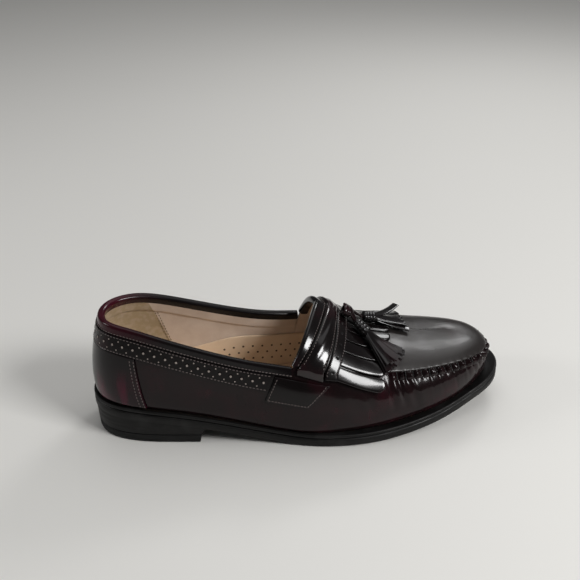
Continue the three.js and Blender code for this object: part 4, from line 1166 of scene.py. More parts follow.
@dataclass
class Upper:
    """Vamp, quarters and lining, and the gathered seam round the apron."""

    pleat: float = 6.1
    columns: int = 420
    rows: int = 60
    band: float = 12.8
    heel_seam_foot: float = 68.1
    heel_seam_height: tuple[float, float] = (33.0, 79.0)
    hole_pitch: float = 7.0
    hole_rows: tuple[float, ...] = (9.5, 15.0, 20.5)
    wing: tuple[tuple[float, float], ...] = (
        (60, 0.085), (75, 0.14), (101, 0.262), (121, 0.311), (149, 0.33), (168, 0.33),
    )
    creases: tuple[Crease, ...] = (
        Crease(LATERAL, (202, 43), (207, 24), 1.1, 1.9),
        Crease(LATERAL, (206, 44), (211, 27), -0.7, 1.6),
        Crease(LATERAL, (209, 44), (216, 25), 1.2, 2.0),
        Crease(LATERAL, (216, 43), (225, 22), 1.0, 2.6),
        Crease(LATERAL, (219, 42), (228, 26), -0.4, 2.4),
        Crease(LATERAL, (186, 40), (192, 24), 0.9, 3.2),
        Crease(LATERAL, (176, 34), (186, 22), 0.6, 4.0),
        Crease(MEDIAL, (208, 44), (216, 24), 0.5, 2.5),
        Crease(MEDIAL, (222, 42), (230, 25), 0.4, 2.8),
        Crease(LATERAL, (60, 66), (66, 40), 0.25, 7.0),
    )

    def __post_init__(self) -> None:
        """Works out the seam's line once."""
        outer = LAST.u_at(LAST.throat_x(LATERAL), LATERAL)
        shares = np.linspace(float(outer), LAST.u_toe, self.columns // 2)
        t = (LAST.outline(shares)[:, 0] - LAST.throat_x(LATERAL)) / (LAST.toe_x - LAST.throat_x(LATERAL))
        t[-1] = 1.0
        self.t = np.concatenate([t, t[-2::-1]])
        self.side = np.concatenate([np.full(len(t), LATERAL), np.full(len(t) - 1, MEDIAL)])
        self.u = LAST.u_at(LAST.vamp_x(self.t, self.side), self.side)
        self.seam = LAST.seam_share(self.u)
        self.per_mm = 1 / LAST.length(self.u)
        line = LAST.point(self.u, self.seam)
        self.along = np.concatenate([[0], np.cumsum(np.linalg.norm(np.diff(line, axis=0), axis=1))])
        half = len(self.along) // 2
        self.along = self.along - self.along[half]
        self.gather = smoothstep(LAST.outline(self.u)[:, 0], S.gather_at - 4, S.gather_at + 6)

    def pinch(self, along: Array, slant: Array) -> Array:
        """0 in the stitched valleys of the gathered seam, 1 on its pleats."""
        wobble = 0.35 * np.sin(along * 0.9) + 0.25 * np.sin(along * 0.37 + 1.0)
        return 0.5 + 0.5 * np.cos(2 * math.pi * (along + wobble + slant) / self.pleat)

    def relief(self, delta: Array, along: Array, gather: Array) -> Array:
        """Height of the gathered seam and its pleats.

        Args:
            delta: distance from the seam, below 0 on the vamp's side.
            along: distance along the seam from the toe's tip.
            gather: 0 to 1, how much it is gathered there.

        Returns:
            The height over the skin.
        """
        lump = self.pinch(along, 0.25 * delta)
        full = np.maximum(lump, 0.0) ** 0.5
        bead = np.sqrt(np.clip(1 - (delta / 3.0) ** 2, 0, 1))
        uneven = 0.85 + 0.15 * np.sin(along * 1.7)
        ridge = S.seam_rise * bead * (1.8 * full * uneven - 0.35)
        fade = np.exp(np.minimum(delta + 2.2, 0) / (4.0 + 2.6 * np.sin(along * 0.61 + 0.7)))
        folds = 1.15 * (full - 0.75) * fade * (delta < 0) * (1 - bead)
        return (ridge + folds) * gather

    def vamp_net(self, above: float) -> tuple[Array, Array, Array]:
        """Places of the vamp's net and distances from the seam, up to a distance above the seam."""
        share = 1 - (1 - np.linspace(0, 1, self.rows)) ** 1.6
        below = share[:, None] * self.seam[None, :]
        inside = np.linspace(0, above, 14)[1:, None] * self.per_mm[None, :] + self.seam[None, :]
        v = np.concatenate([below, np.minimum(inside, 1)])
        w = self.side * (1 - v)
        u = LAST.u_at(LAST.vamp_x(self.t, w), np.broadcast_to(self.side, v.shape))
        return u, v, (v - self.seam) / self.per_mm

    def quarter_net(self, columns: int = 300) -> tuple[Array, Array]:
        """Places of the quarters' net, from the inner corner round the heel to the outer one."""
        inner = float(LAST.u_at(LAST.throat_x(MEDIAL), MEDIAL)) - 1
        outer = float(LAST.u_at(LAST.throat_x(LATERAL), LATERAL))
        u = np.linspace(inner, outer, columns)
        share = 1 - (1 - np.linspace(0, 1, self.rows)) ** 1.6
        v = share[:, None] * LAST.collar_share(u)[None, :]
        return np.broadcast_to(u, v.shape), v

    def leather(self) -> None:
        """The outer leather, one piece with the raised seam and the creases."""
        body = Body()
        u, v, delta = self.vamp_net(8.0)
        relief = self.relief(delta, self.along[None, :], self.gather[None, :])
        body.sheet(self._creased(u, v, relief))
        u, v = self.quarter_net()
        body.sheet(self._creased(u, v, 0.0))
        thicken(body.piece("upper_leather", Finishes.vamp, ["upper"], weld=0.02, sharp=80), 1.0)

    def _creased(self, u: Array, v: Array, relief: Array | float) -> Array:
        """Points of the leather with its creases."""
        base = LAST.point(u, v)
        folds = sum(crease.relief(base) for crease in self.creases)
        return base + LAST.normal(u, v) * (relief + folds)[..., None]

    def lining(self) -> None:
        """The lining inside the quarters and the vamp, with the folded band along the collar."""
        body = Body()
        u, v, _ = self.vamp_net(60.0)
        body.sheet(self._creased(u, v, -1.25))
        u, v = self.quarter_net()
        points = LAST.point(u, v)
        below = (LAST.collar_share(u) - v) * LAST.length(u)
        band = 0.9 * (1 - smoothstep(below, self.band - 0.9, self.band + 0.5))
        soft = 0.3 * np.sin(points[..., 0] * 0.11) * np.sin(points[..., 2] * 0.16) * smoothstep(below, 13, 20)
        depth = 1.15 + (band + soft) * smoothstep(below, 0.0, 2.0) * smoothstep(v, 0.1, 0.3)
        body.sheet(points - LAST.normal(u, v) * depth[..., None])
        thicken(body.piece("lining", Finishes.lining, weld=0.02, sharp=80), 0.9)

    def heel_seam(self) -> None:
        """The stitches that join the rough heel lining to the smooth one, on both sides."""
        thread = Repeat("lining_thread", Shape.STITCH, Finishes.beige_thread, 1.9, 0.6, 0.5)
        height = np.linspace(*self.heel_seam_height, 40)
        for aside in (-0.9, 0.9):
            x = self.heel_seam_foot - S.heel_lining_slant * height + aside
            for side in (LATERAL, MEDIAL):
                u = LAST.u_at(x, side)
                v = LAST.share_at(u, height)
                thread.line(LAST.at(u, v, -2.15), -LAST.normal(u, v), 2.6)
        thread.build()

    def sock_wing(self) -> None:
        """The sock's inner side, cupped up against the lining, with its rows of perforations."""
        table = np.array(self.wing)
        start, end = table[0, 0], table[-1, 0]
        top = Spline(*table.T)

        def place(s: Array, t: Array) -> tuple[Array, Array]:
            """Place on the skin."""
            x = start + (end - start) * s
            return LAST.u_at(x, MEDIAL), 0.02 + (top(x) - 0.02) * t

        floor, wall = -S.upper_wall - 0.2, -0.9
        Patch(place, end - start, 28.0, floor, wall, pitch=1.5, roll=0.7).build(Body()).piece(
            "sock_wing", Finishes.sock, outwards=True)
        # The dark discs stand for the sock's holes: the layer beneath plus painted shade in each hole.
        hole = Repeat("sock_holes", Shape.DISC, Finishes.sock_hole, 1.6, 1.6, 0.2)
        for k, below in enumerate(self.hole_rows):
            x = np.arange(94.0 + 3.5 * (k % 2), end - 4, self.hole_pitch)
            u = LAST.u_at(x, MEDIAL)
            v = top(x) - below / LAST.length(u)
            hole.run(LAST.at(u, v, floor + wall), FORWARDS, -LAST.normal(u, v))
        seat = S.sole_wall + S.welt_wall + S.gap + 2.45
        for k, y in enumerate(np.arange(-18.0, 18.0, 5.5)):
            x = np.arange(94.0 + 3.5 * (k % 2), 190.0, self.hole_pitch)
            points = np.column_stack([x, np.full_like(x, y), sole_underside(x) + seat])
            hole.run(points, FORWARDS, UPWARDS)
        hole.build()

    def seam_stitches(self) -> None:
        """The waxed threads that pull the pleats together."""
        phase = (np.arange(-40, 41) + 0.5) * self.pleat
        phase = phase[(phase > self.along[0]) & (phase < self.along[-1])]
        pick = np.interp(phase, self.along, np.arange(len(self.along)))
        keep = np.interp(pick, np.arange(len(self.along)), self.gather) > 0.4
        pick = pick[keep]
        column = np.round(pick).astype(int)
        u, seam, per_mm = self.u[column], self.seam[column], self.per_mm[column]
        points = []
        for delta in (-2.9, -1.0, 1.0, 2.6):
            height = self.relief(np.full(len(u), delta), self.along[column], np.ones(len(u)))
            points.append(LAST.at(u, seam + delta * per_mm, height + 0.1))
        out = LAST.normal(u, seam)
        stitch = Repeat("apron_thread", Shape.STITCH, Finishes.seam_thread, 2.8, 1.0, 0.7)
        for low, high in zip(points, points[1:]):
            stitch.run((low + high) / 2, high - low, out)
        stitch.build()

    def build(self) -> None:
        """Makes the upper's pieces."""
        self.leather()
        self.lining()
        self.heel_seam()
        self.sock_wing()
        self.seam_stitches()


def thicken(piece: bpy.types.Object, wall: float) -> None:
    """Gives an open sheet a wall below its surface, in millimetres, and keeps the plain mesh."""
    modifier = piece.modifiers.new("wall", "SOLIDIFY")
    modifier.thickness = wall / 1000
    modifier.offset = -1
    graph = bpy.context.evaluated_depsgraph_get()
    mesh = bpy.data.meshes.new_from_object(piece.evaluated_get(graph))
    piece.modifiers.clear()
    old = piece.data
    piece.data = mesh
    mesh.name = old.name
    bpy.data.meshes.remove(old)


@dataclass
class Overlays:
    """Apron, counter, brogued strip, saddles and bindings."""

    upper: Upper
    perforation_pitch: float = 7.4
    stitch: tuple[float, float, float] = (1.8, 0.75, 0.6)
    crest: float = 0.88

    def apron(self) -> None:
        """The plug inside the gathered seam."""
        up = self.upper
        rear = lambda w: LAST.throat_x(w) + band_width(w) + S.gap
        keep = LAST.vamp_x(up.t, 0.0) > rear(0.0) + 1.0
        t, side = up.t[keep], up.side[keep]
        t = np.concatenate([[np.nan], t, [np.nan]])
        side = np.concatenate([[LATERAL], side, [MEDIAL]])
        at_x = lambda w: np.where(np.isnan(t), rear(w), LAST.vamp_x(np.nan_to_num(t), w))
        u = LAST.u_at(at_x(side), side)
        per_mm = 1 / LAST.length(u)
        start = LAST.seam_share(u) + (S.seam_half - 0.4) * per_mm
        edge_mm = np.array([0, 0.1, 0.3, 0.6, 1.0, 1.6, 2.4, 3.4, 4.6])
        rows = [start + mm * per_mm for mm in edge_mm]
        last = rows[-1]
        rows += [last + (1 - last) * share for share in np.linspace(0, 1, 34)[1:]]
        v = np.minimum(np.stack(rows), 1)
        w = side * (1 - v)
        uu = LAST.u_at(at_x(w), np.broadcast_to(side, v.shape))
        delta = (v - (start - (S.seam_half - 0.4) * per_mm)) / per_mm
        along = self._seam_place(u)
        lump = up.pinch(along[None, :], 0.25 * delta)
        near = np.exp(-np.maximum(delta - 2.0, 0) / 1.1)
        gather = smoothstep(LAST.outline(u)[:, 0], S.gather_at - 4, S.gather_at + 6)[None, :]
        scallop = 0.5 * (lump - 0.5) * near * gather
        edge = np.sqrt(np.clip(1 - (1 - np.clip((delta - 2.1) / 0.9, 0, 1)) ** 2, 0, 1))
        pad = 0.35 * smoothstep(delta, 2.0, 9.0)
        floor = S.overlay_floor
        base, normal = LAST.point(uu, v), LAST.normal(uu, v)
        row = int(np.argmax(v[:, v.shape[1] // 2] > self.crest))
        ridge = normal[row] + normal[row, ::-1]
        blend = smoothstep(v[row:], self.crest, 1.0)[..., None]
        ridge /= np.linalg.norm(ridge, axis=-1, keepdims=True)
        normal[row:] = normal[row] * (1 - blend) + ridge * blend
        normal[row:] /= np.linalg.norm(normal[row:], axis=-1, keepdims=True)
        outer = base + normal * (floor + S.plug_wall * (0.2 + 0.8 * edge) + scallop + pad)[..., None]
        inner = base + normal * (floor + np.minimum(scallop, 0) - 0.05)[..., None]
        for net in (outer, inner):
            net[-1] = (net[-1] + net[-1, ::-1]) / 2
        Body().shell(outer, inner).piece("apron", Finishes.apron, ["plug"], weld=0.01, sharp=60)

    def _seam_place(self, u: Array) -> Array:
        """Distance along the seam at places u."""
        up = self.upper
        return np.interp(u % 1.0, up.u % 1.0, up.along)

    def counter(self) -> None:
        """The heel counter with its two rows of stitches."""
        strip_bottom = S.binding_leg + S.gap + S.strip_width

        def place(s: Array, t: Array) -> tuple[Array, Array]:
            """Place on the skin."""
            x = S.counter_length - S.counter_lean * t
            u = (1 - s) * (LAST.u_at(x, MEDIAL) - 1) + s * LAST.u_at(x, LATERAL)
            top = LAST.collar_share(u) - (strip_bottom - 0.6) / LAST.length(u)
            return u, 0.025 + (top - 0.025) * t

        Patch(place, 140.0, 42.0, S.overlay_floor, S.overlay_wall, roll=0.7).build(Body()).piece(
            "heel_counter", Finishes.oxblood, ["counter"])
        thread = Repeat("counter_thread", Shape.STITCH, Finishes.thread, *self.stitch)
        t = np.linspace(0.01, 0.97, 60)
        for s_mm in (1.1, 5.2):
            for s in (s_mm / 140.0, 1 - s_mm / 140.0):
                u, v = place(np.full_like(t, s), t)
                thread.line(LAST.at(u, v, S.overlay_floor + S.overlay_wall), LAST.normal(u, v), 2.5)
        thread.build()

    def brogue(self) -> None:
        """The brogued strip with its perforations and stitches."""
        top, bottom = S.binding_leg + S.gap, S.binding_leg + S.gap + S.strip_width

        def place(s: Array, t: Array) -> tuple[Array, Array]:
            """Place on the skin, s from the inner saddle to the outer one, t upwards."""
            below = bottom + (top - bottom) * t
            ends = [self._strip_end(side, below) for side in (MEDIAL, LATERAL)]
            u = (1 - s) * (LAST.u_at(ends[0], MEDIAL) - 1) + s * LAST.u_at(ends[1], LATERAL)
            return u, LAST.collar_share(u) - below / LAST.length(u)

        length = 275.0
        Patch(place, length, S.strip_width, S.overlay_floor, S.overlay_wall, pitch=1.0, roll=0.5).build(
            Body()).piece("brogue_band", Finishes.trim, ["brogue_strip"])
        height = S.overlay_floor + S.overlay_wall
        s = np.linspace(0.006, 0.994, 500)

        def row(t: float, out: float) -> tuple[Array, Array]:
            """A line along the strip and its outward directions."""
            u, v = place(s, np.full_like(s, t))
            return LAST.at(u, v, height + out), LAST.normal(u, v)

        # The pale discs in the holes are a painted highlight, the glint in each hole.
        big = Repeat("brogue_holes", Shape.DISC, Finishes.light, 1.7, 1.7, 0.3)
        big.line(*row(0.5, -0.05), self.perforation_pitch)
        rim = Repeat("brogue_hole_rims", Shape.RING, Finishes.trim, 2.9, 2.9, 1.1)
        rim.line(*row(0.5, 0.0), self.perforation_pitch)
        # The same painted highlight in the small holes.
        small = Repeat("brogue_small_holes", Shape.DISC, Finishes.light, 1.0, 1.0, 0.25)
        for t in (0.25, 0.75):
            small.line(*row(t, -0.02), self.perforation_pitch, start=1.0)
        thread = Repeat("brogue_thread", Shape.STITCH, Finishes.thread, *self.stitch)
        for t in (0.08, 0.92):
            thread.line(*row(t, 0.0), 2.4)
        for repeat in (big, rim, small, thread):
            repeat.build()

    def _strip_end(self, side: int, below: Array) -> Array:
        """Where the strip ends at the saddle's rear edge, for a distance below the collar."""
        foot, top = saddle_corner("rear_foot", side), saddle_corner("rear_top", side)
        x = np.full(np.shape(below), foot[0])
        for _ in range(4):
            at = np.clip((x - LAST.heel_x) / (LAST.throat_x(side) - LAST.heel_x), 0, 1)
            z = S.collar_height - (S.collar_height - S.corner_height) * LAST.collar_drop(at) - below
            x = foot[0] + (top[0] - foot[0]) * (z - foot[1]) / (top[1] - foot[1]) - 2 * S.gap
        return x

    def saddle(self, side: int) -> None:
        """A saddle that takes one end of the strap."""
        names = ("rear_foot", "front_foot", "rear_top", "front_top")
        rf, ff, rt, ft = (np.array(saddle_corner(name, side)) for name in names)

        def place(s: Array, t: Array) -> tuple[Array, Array]:
            """Place on the skin."""
            s = s if side == LATERAL else 1 - s
            foot = rf + (ff - rf) * s[..., None]
            head = rt + (ft - rt) * s[..., None]
            at = foot + (head - foot) * t[..., None]
            u = LAST.u_at(at[..., 0], side)
            return u, LAST.share_at(u, at[..., 1])

        name = "saddle_outer" if side == LATERAL else "saddle_inner"
        node = "saddle_lateral" if side == LATERAL else "saddle_medial"
        pad = lambda s, t: 0.9 * np.sin(math.pi * s) ** 0.5 * np.sin(math.pi * np.clip(t, 0, 1)) ** 0.5
        Patch(place, 30.0, 20.0, S.overlay_floor, S.overlay_wall, pitch=0.8, roll=0.6, relief=pad).build(
            Body()).piece(name, Finishes.upper, [node])
        thread = Repeat(name + "_thread", Shape.STITCH, Finishes.thread, *self.stitch)
        line = np.linspace(0.05, 0.95, 60)
        inset = 0.055
        for s, t in ((np.full(60, inset), line), (line, np.full(60, 0.08)), (np.full(60, 1 - inset), line)):
            u, v = place(s, t)
            out = S.overlay_floor + S.overlay_wall + pad(s, t)
            thread.line(LAST.at(u, v, out), LAST.normal(u, v), 2.2)
        thread.build()

    def collar_binding(self) -> None:
        """The padded roll over the quarters' edge."""
        inner = float(LAST.u_at(LAST.throat_x(MEDIAL), MEDIAL)) - 1
        outer = float(LAST.u_at(LAST.throat_x(LATERAL), LATERAL))
        u = np.linspace(inner, outer, 320)
        section = binding_section(S.binding_leg)
        top, per_mm = LAST.collar_share(u), 1 / LAST.length(u)
        rings = np.stack([LAST.at(u, top - x * per_mm, y) for x, y in section], axis=1)
        roll = Body().tube(rings).piece("collar_roll", Finishes.collar, ["collar_binding"], outwards=True)
        thread = Repeat("collar_thread", Shape.STITCH, Finishes.thread, *self.stitch)
        out = S.overlay_floor + S.binding_wall
        v = top - (S.binding_leg - 0.9) * per_mm
        thread.line(LAST.at(u, v, out), LAST.normal(u, v), 2.3)
        thread.build()

    def throat_binding(self) -> None:
        """The same roll over the throat's edge, wide in the middle."""
        ends = []
        for side in (LATERAL, MEDIAL):
            u = LAST.u_at(LAST.throat_x(side), side)
            roll = (S.binding_roll + 2 * S.gap) / LAST.length(u)
            ends.append(side * float(1 - LAST.collar_share(u) - roll))
        w = np.linspace(ends[0], ends[1], 160)
        rear = LAST.throat_x(w)
        sections = np.array([binding_section(leg) for leg in band_width(w)])
        rings = np.stack([LAST.over(rear + sections[:, k, 0], w, sections[:, k, 1])
                          for k in range(sections.shape[1])], axis=1)
        roll = Body().tube(rings).piece("throat_roll", Finishes.strap, ["throat_binding"], outwards=True)
        thread = Repeat("throat_thread", Shape.STITCH, Finishes.thread, *self.stitch)
        x = rear + band_width(w) - 0.9
        thread.line(LAST.over(x, w, S.overlay_floor + S.binding_wall), LAST.normal(*LAST.uv_over(x, w)), 2.3)
        thread.build()

    def build(self) -> None:
        """Makes every overlay."""
        self.apron()
        self.counter()
        self.brogue()
        self.saddle(LATERAL)
        self.saddle(MEDIAL)
        self.collar_binding()
        self.throat_binding()


def band_width(w: Array | float) -> Array:
    """Width of the throat's binding."""
    share = np.minimum(1, np.abs(w) / S.corner_w) ** 2
    return S.throat_band + (S.corner_band - S.throat_band) * share


def binding_section(leg: float) -> Array:
    """The binding's rounded section: x below the edge, y out from the skin."""
    outside = S.overlay_floor + S.binding_wall - 0.2
    inner = -S.upper_wall + 0.1
    inside = inner - S.binding_wall + 0.1
    roll = S.binding_roll - 0.3
    middle, half = (outside + inside) / 2, (outside - inside) / 2
    turn = np.linspace(0, math.pi, 13)
    bulge = half + 0.3
    arc = np.column_stack([-roll * np.sin(turn), middle + bulge * np.cos(turn)])
    outer_leg = [(leg, S.overlay_floor + 0.2), (leg - 0.05, outside - 0.35), (leg - 0.3, outside - 0.05),
                 (leg - 0.7, outside), (leg * 0.6, outside + 0.02), (1.2, outside + 0.3)]
    inner_leg = [(1.2, inside - 0.3), (S.binding_leg - 0.4, inside), (S.binding_leg, inner - 0.2),
                 (S.binding_leg - 0.1, inner + 0.02), (0.4, inner + 0.02), (-0.2, inner + 0.4),
                 (-0.2, S.overlay_floor - 0.4), (0.4, S.overlay_floor - 0.02),
                 (leg - 0.1, S.overlay_floor - 0.02)]
    return np.array([*outer_leg, *arc, *inner_leg])


def saddle_corner(name: str, side: int) -> tuple[float, float]:
    """A saddle's corner: distance from the heel and height."""
    along, down = SADDLE[name]
    return float(LAST.throat_x(side)) + along * S.saddle_length, S.corner_height - down * S.saddle_drop


@dataclass
class Front:
    """The instep strap and the kiltie in front of it."""

    def __post_init__(self) -> None:
        """Works out the strap's reach."""
        self.reach = abs(float(self.strap_end(self.strap_rear(LATERAL), LATERAL)))

    def strap_rear(self, w: Array | float) -> Array:
        """The strap's rear edge."""
        return LAST.throat_x(w) + band_width(w) + S.gap

    def strap_end(self, x: Array | float, side: Array | int) -> Array:
        """Where the strap ends across the shoe at x."""
        x, side = np.broadcast_arrays(np.asarray(x, float), np.asarray(side))
        middle = self.strap_rear(side) + S.strap_end / 2
        return side * (1 - LAST.share_at(LAST.u_at(x, side), S.slit_height - S.slit_slant * (x - middle)))

    def strap_front(self, w: Array | float) -> Array:
        """The strap's front edge."""
        share = np.minimum(1, np.abs(w) / self.reach) ** 1.5
        return self.strap_rear(w) + S.strap_middle + (S.strap_end - S.strap_middle) * share

    def strap(self) -> None:
        """The strap: full in the middle, thin where it goes under the saddles."""

        def place(s: Array, t: Array) -> tuple[Array, Array]:
            """Place on the skin, s across from outer to inner, t forwards."""
            s = 2 * s - 1
            side = np.where(s < 0, LATERAL, MEDIAL)
            end_x = self.strap_rear(side) + (self.strap_front(side) - self.strap_rear(side)) * t
            w = np.abs(s) * self.strap_end(end_x, side) * 1.03
            return LAST.uv_over(self.strap_rear(w) + (self.strap_front(w) - self.strap_rear(w)) * t, w)

        def place_up(s: Array, t: Array) -> tuple[Array, Array]:
            """The same with t backwards, so that the leather's face points out."""
            return place(s, 1 - t)

        tuck = lambda s: smoothstep(np.minimum(s, 1 - s), 0.0, 0.045)
        relief = lambda s, t: (0.9 * np.sin(math.pi * t) ** 0.7 * tuck(s)
                               + 0.25 * np.sin(9 * t + 16 * s) * np.sin(math.pi * t) * tuck(s))
        lift = lambda s, t: (tuck(s) - 1) * (S.loose_floor - 0.2)
        Patch(place_up, 118.0, 13.0, S.loose_floor, S.strap_wall, pitch=1.0, roll=0.7, relief=relief,
              lift=lift).build(Body()).piece("strap", Finishes.strap, ["instep_strap"], outwards=True)
        thread = Repeat("strap_thread", Shape.STITCH, Finishes.thread, 1.7, 0.6, 0.5)
        s = np.linspace(0.06, 0.94, 240)
        for t in (0.09, 0.91):
            u, v = place_up(s, np.full_like(s, t))
            height = S.loose_floor + S.strap_wall + relief(s, t) - 0.05
            thread.line(LAST.at(u, v, height), LAST.normal(u, v), 2.3)
        thread.build()

    def _edge_w(self, part: Array, side: Array) -> Array:
        """The fringe's outer edge across the shoe, from the strap's end to the front."""
        rear = self.strap_end(self.strap_front(side), side)
        front_u = LAST.u_at(LAST.corner_x(side) + S.kiltie_length - S.kiltie_bow, side)
        front = side * (1 - LAST.seam_share(front_u) + S.kiltie_drop / LAST.length(front_u))
        return rear + (front - rear) * part

    def _place(self, s: Array, part: Array) -> tuple[Array, Array]:
        """Place of the fringe: s from -1 to 1 across, part from 0 at the root to 1 at the front."""
        side = np.where(s < 0, LATERAL, MEDIAL)
        w = np.abs(s) * self._edge_w(np.clip(part, 0, 1), side)
        root = self.strap_front(w) + S.gap + 2 * S.drape + S.kiltie_base
        front = LAST.corner_x(w) + S.kiltie_length - S.kiltie_bow * s * s
        return LAST.uv_over(root + (front - root) * part, w)

    def kiltie(self) -> None:
        """The base with its ringed holes and the twelve round-ended strips."""
        body = Body()
        wide = 2 / S.kiltie_strips
        rng = np.random.default_rng(7)
        for k in range(S.kiltie_strips):
            middle = -1 + wide * (k + 0.5)
            u, v = self._place(np.array([middle, middle]), np.array([0.0, 1.0]))
            length = float(np.linalg.norm(np.diff(LAST.point(u, v), axis=0)))
            left, right = (
                LAST.point(*self._place(np.array(middle + e * wide / 2), np.array(0.5))) for e in (-1, 1)
            )
            width = float(np.linalg.norm(left - right)) - S.strip_slit
            radius = width / 2 / length
            slit = wide / 2 * width / (width + S.strip_slit)
            bend, twist, sway = rng.uniform(0.0, 0.9), rng.uniform(-0.5, 0.5), rng.uniform(-0.3, 0.3)

            def place(s: Array, t: Array) -> tuple[Array, Array]:
                """Place on the skin, s along the strip and t across it."""
                tip = np.clip((s - (1 - radius)) / radius, 0, 1)
                half = slit * np.sqrt(np.clip(1 - tip**2, 0.0004, 1))
                return self._place(middle + (1 - 2 * t) * half, s)

            lift = lambda s, t: (bend * s**2 + twist * (t - 0.5) * s + sway * np.sin(7 * s + k) * s * 0.6
                                 + 0.15 * np.sin(math.pi * t) * s)
            Patch(place, length, width, S.loose_floor, S.kiltie_wall, pitch=1.3, roll=0.5,
                  lift=lambda s, t: np.maximum(lift(s, t), 0)).build(body)
        base = lambda s, t: self._base_place(2 * s - 1, 1 - t)
        Patch(base, 122.0, S.kiltie_base + 1.2, S.loose_floor, S.kiltie_wall, pitch=1.2, roll=0.4).build(body)
        body.piece("kiltie_fringe", Finishes.fringe, ["kiltie"], weld=0.01, outwards=True)
        thread = Repeat("kiltie_thread", Shape.STITCH, Finishes.thread, 1.6, 0.6, 0.5)
        line = np.linspace(-0.97, 0.97, 240)
        for t in (0.14, 0.9):
            u, v = self._base_place(line, np.full_like(line, t))
            thread.line(LAST.at(u, v, S.loose_floor + S.kiltie_wall), LAST.normal(u, v), 2.2)
        thread.build()
        s = -1 + wide * (np.arange(S.kiltie_strips) + 0.5)
        u, v = self._base_place(s, np.full_like(s, 0.55))
        normal = LAST.normal(u, v)
        ring = Repeat("kiltie_rings", Shape.RING, Finishes.trim, 2.4, 2.4, 1.2)
        height = S.loose_floor + S.kiltie_wall
        ring.run(LAST.at(u, v, height), FORWARDS, normal).build()
        # The dark discs stand for the holes: the dark calf beneath plus painted shade in the recess.
        hole = Repeat("kiltie_holes", Shape.DISC, Finishes.hole, 1.5, 1.5, 0.3)
        hole.run(LAST.at(u, v, height - 0.02), FORWARDS, normal).build()

    def _base_place(self, s: Array, t: Array) -> tuple[Array, Array]:
        """Place of the kiltie's uncut base."""
        side = np.where(s < 0, LATERAL, MEDIAL)
        w = np.abs(s) * self._edge_w(np.zeros_like(s), side)
        rear = self.strap_front(w) + S.gap + 2 * S.drape
        return LAST.uv_over(rear + (S.kiltie_base + 1.0) * t, w)

    def build(self) -> None:
        """Makes strap and kiltie."""
        self.strap()
        self.kiltie()


@dataclass(frozen=True)
class TasselSizes:
    """Sizes of one tassel in millimetres, and its angle to the line to the toe in degrees."""

    side: int
    thong: float
    turn: float
    cap_length: float = 13.0
    cap_width: float = 9.0
    cap_height: float = 7.0
    fringe: float = 30.0
    spread: float = 44.0
    strips: int = 5
    strip_width: float = 6.2
    strip_wall: float = 1.0


